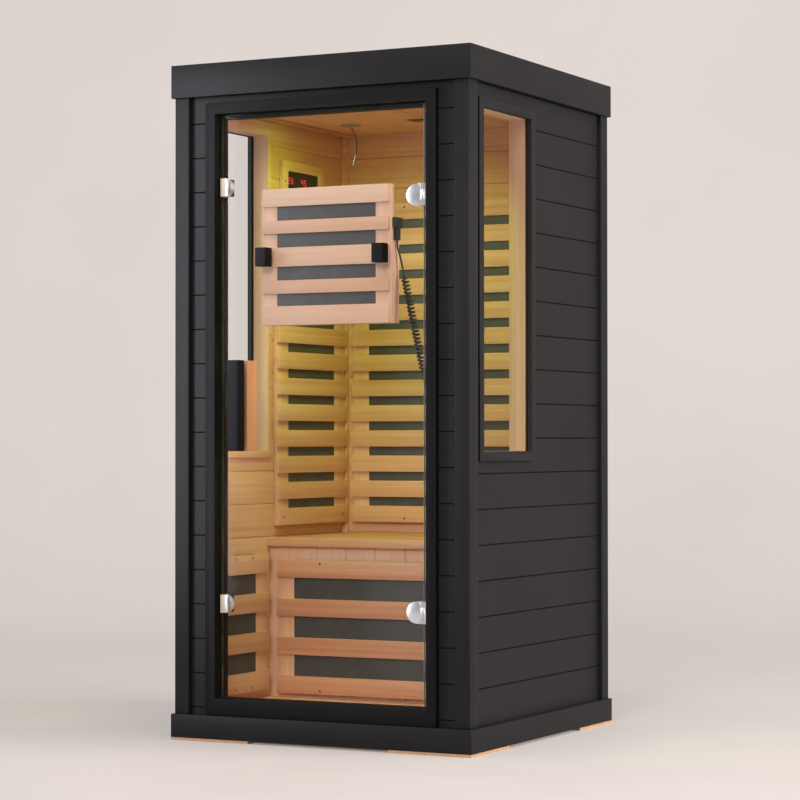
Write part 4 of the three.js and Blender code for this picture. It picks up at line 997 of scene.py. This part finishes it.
def ceiling_rose():
    bm = bmesh.new()
    rings = []
    for radius, drop in ROSE_RINGS:
        ring = []
        for k in range(ROSE_SIDES):
            angle = -2 * math.pi * k / ROSE_SIDES
            spot = (ROSE[0] + radius * math.cos(angle), ROSE[1] + radius * math.sin(angle), ceiling - drop)
            ring.append(bm.verts.new(Vector(spot) * MM))
        rings.append(ring)
    join_rings(bm, rings)
    smooth_by_angle(bm)
    make_piece("sensor_rose", bm, steel, "cabin")


def ceiling_plate(name, corners, thickness, finish):
    (x0, y0), (x1, y1) = corners
    bm = bmesh.new()
    block(bm, Vector((x0, y0, ceiling - thickness)) * MM, Vector((x1, y1, ceiling)) * MM)
    round_edges(bm, bm.edges[:], PLATE_ROUND_SHARE * thickness)
    make_piece(name, bm, finish, "cabin")


cornice_wood = hemlock("hemlock_cornice", "Y", "X", ONE_PLANK_MM, CORNICE_TONES)
ceiling_rose()
# Painted shadow: a thin black plate at the air vent
ceiling_plate("vent_painted_shadow", VENT_SHADOW, VENT_SHADOW_T, abs_black)
ceiling_plate("cornice_left", CORNICE_LEFT, CORNICE_T, cornice_wood)
ceiling_plate("cornice_right", CORNICE_RIGHT, CORNICE_T, cornice_wood)
# Painted highlight: a thin pale strip on the ceiling
ceiling_plate("painted_highlight_strip", HIGHLIGHT_STRIP, HIGHLIGHT_STRIP_T, abs_ivory)
print("ceiling fittings ready")

# %% [markdown]
# ## Ceiling lamp and readouts
# The lamp is a frosted cover that shines softly. The control panel shows two numbers in red segments; each
# digit is made of seven small bars, of which some are lit.

# %% Lamp and readouts
FROST_MM = 50.0
SEGMENTS = {"2": "abged", "3": "abgcd", "4": "fgbc", "5": "afgcd"}
DIGIT_H = 18.0
DIGIT_W = 13.0
DIGIT_STEP = 18.0
DIGIT_T = 0.4
BAR = 2.4
DIGIT_DROP = 19.0
READOUTS = (("23", 4.0), ("45", 86.0))


def shining(name, dark, light, shine, strength):
    finish, tree, shader, place = new_finish(name)
    cloud = add(tree, "ShaderNodeTexNoise", {"Vector": place, "Scale": 1 / (FROST_MM * MM), "Detail": 2.0})
    colour = add(tree, "ShaderNodeValToRGB", {"Fac": cloud.outputs["Fac"]}, [(0.3, dark), (0.7, light)])
    feed(shader, {"Base Color": colour.outputs["Color"], "Emission Color": linear(shine),
                  "Emission Strength": strength, "Roughness": 0.4})
    return finish


def segment_bars(letter, y, z):
    half = DIGIT_H / 2
    right = y + DIGIT_W
    top = z + DIGIT_H
    spans = {
        "a": (y, right, top - BAR, top), "g": (y, right, z + half - BAR / 2, z + half + BAR / 2),
        "d": (y, right, z, z + BAR), "f": (y, y + BAR, z + half, top),
        "b": (right - BAR, right, z + half, top), "e": (y, y + BAR, z, z + half),
        "c": (right - BAR, right, z, z + half)}
    return spans[letter]


def readouts():
    low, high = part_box("control_panel")
    face = high[0] / MM
    base = high[2] / MM - DIGIT_DROP - DIGIT_H
    bm = bmesh.new()
    for text, offset in READOUTS:
        for place, digit in enumerate(text):
            for letter in SEGMENTS[digit]:
                y0, y1, z0, z1 = segment_bars(letter, low[1] / MM + offset + place * DIGIT_STEP, base)
                block(bm, (face * MM, y0 * MM, z0 * MM), ((face + DIGIT_T) * MM, y1 * MM, z1 * MM))
    red = shining("red_led_segments", "#3a0410", "#4a0614", "#ff2148", strength=1.0)
    make_piece("readout_digits", bm, red, "cabin")


dress(["ceiling_lamp"], shining("frosted_lamp_cover", "#efe3b8", "#f6ecc9", "#e6e06a", strength=0.6))
readouts()
print("lamp and readouts ready")

# %% [markdown]
# ## Light inside the cabin
# A yellow-green lamp at the front, above the door, lights the slats and the bench. A small one makes the glow
# beside the left window. An amber one under the ceiling stands for the light that the wood throws back.

# %% Inside light
LIME_SPREAD = 2.1
LIME_LAMPS = [
    ("yellow_green_cabin_lamp", (0.12, -0.34, 1.745), (-0.2, 0.3, 0.6), (0.12, 0.12), 2.9, "#bdf058"),
    ("lime_wall_glow", (-0.15, -0.045, 1.735), (-0.4, -0.03, 1.5), (0.06, 0.06), 0.2, "#b0ff28"),
]
AMBER_LAMP = ("amber_cabin_lamp", (0.1, -0.1, 1.765), (0.1, 0.0, 0.5), (0.15, 0.15), 0.6, "#ffc67e")
for lime_lamp in LIME_LAMPS:
    area_lamp(*lime_lamp).data.spread = LIME_SPREAD
area_lamp(*AMBER_LAMP)
print("lamps:", [lamp.name for lamp in bpy.data.lights])
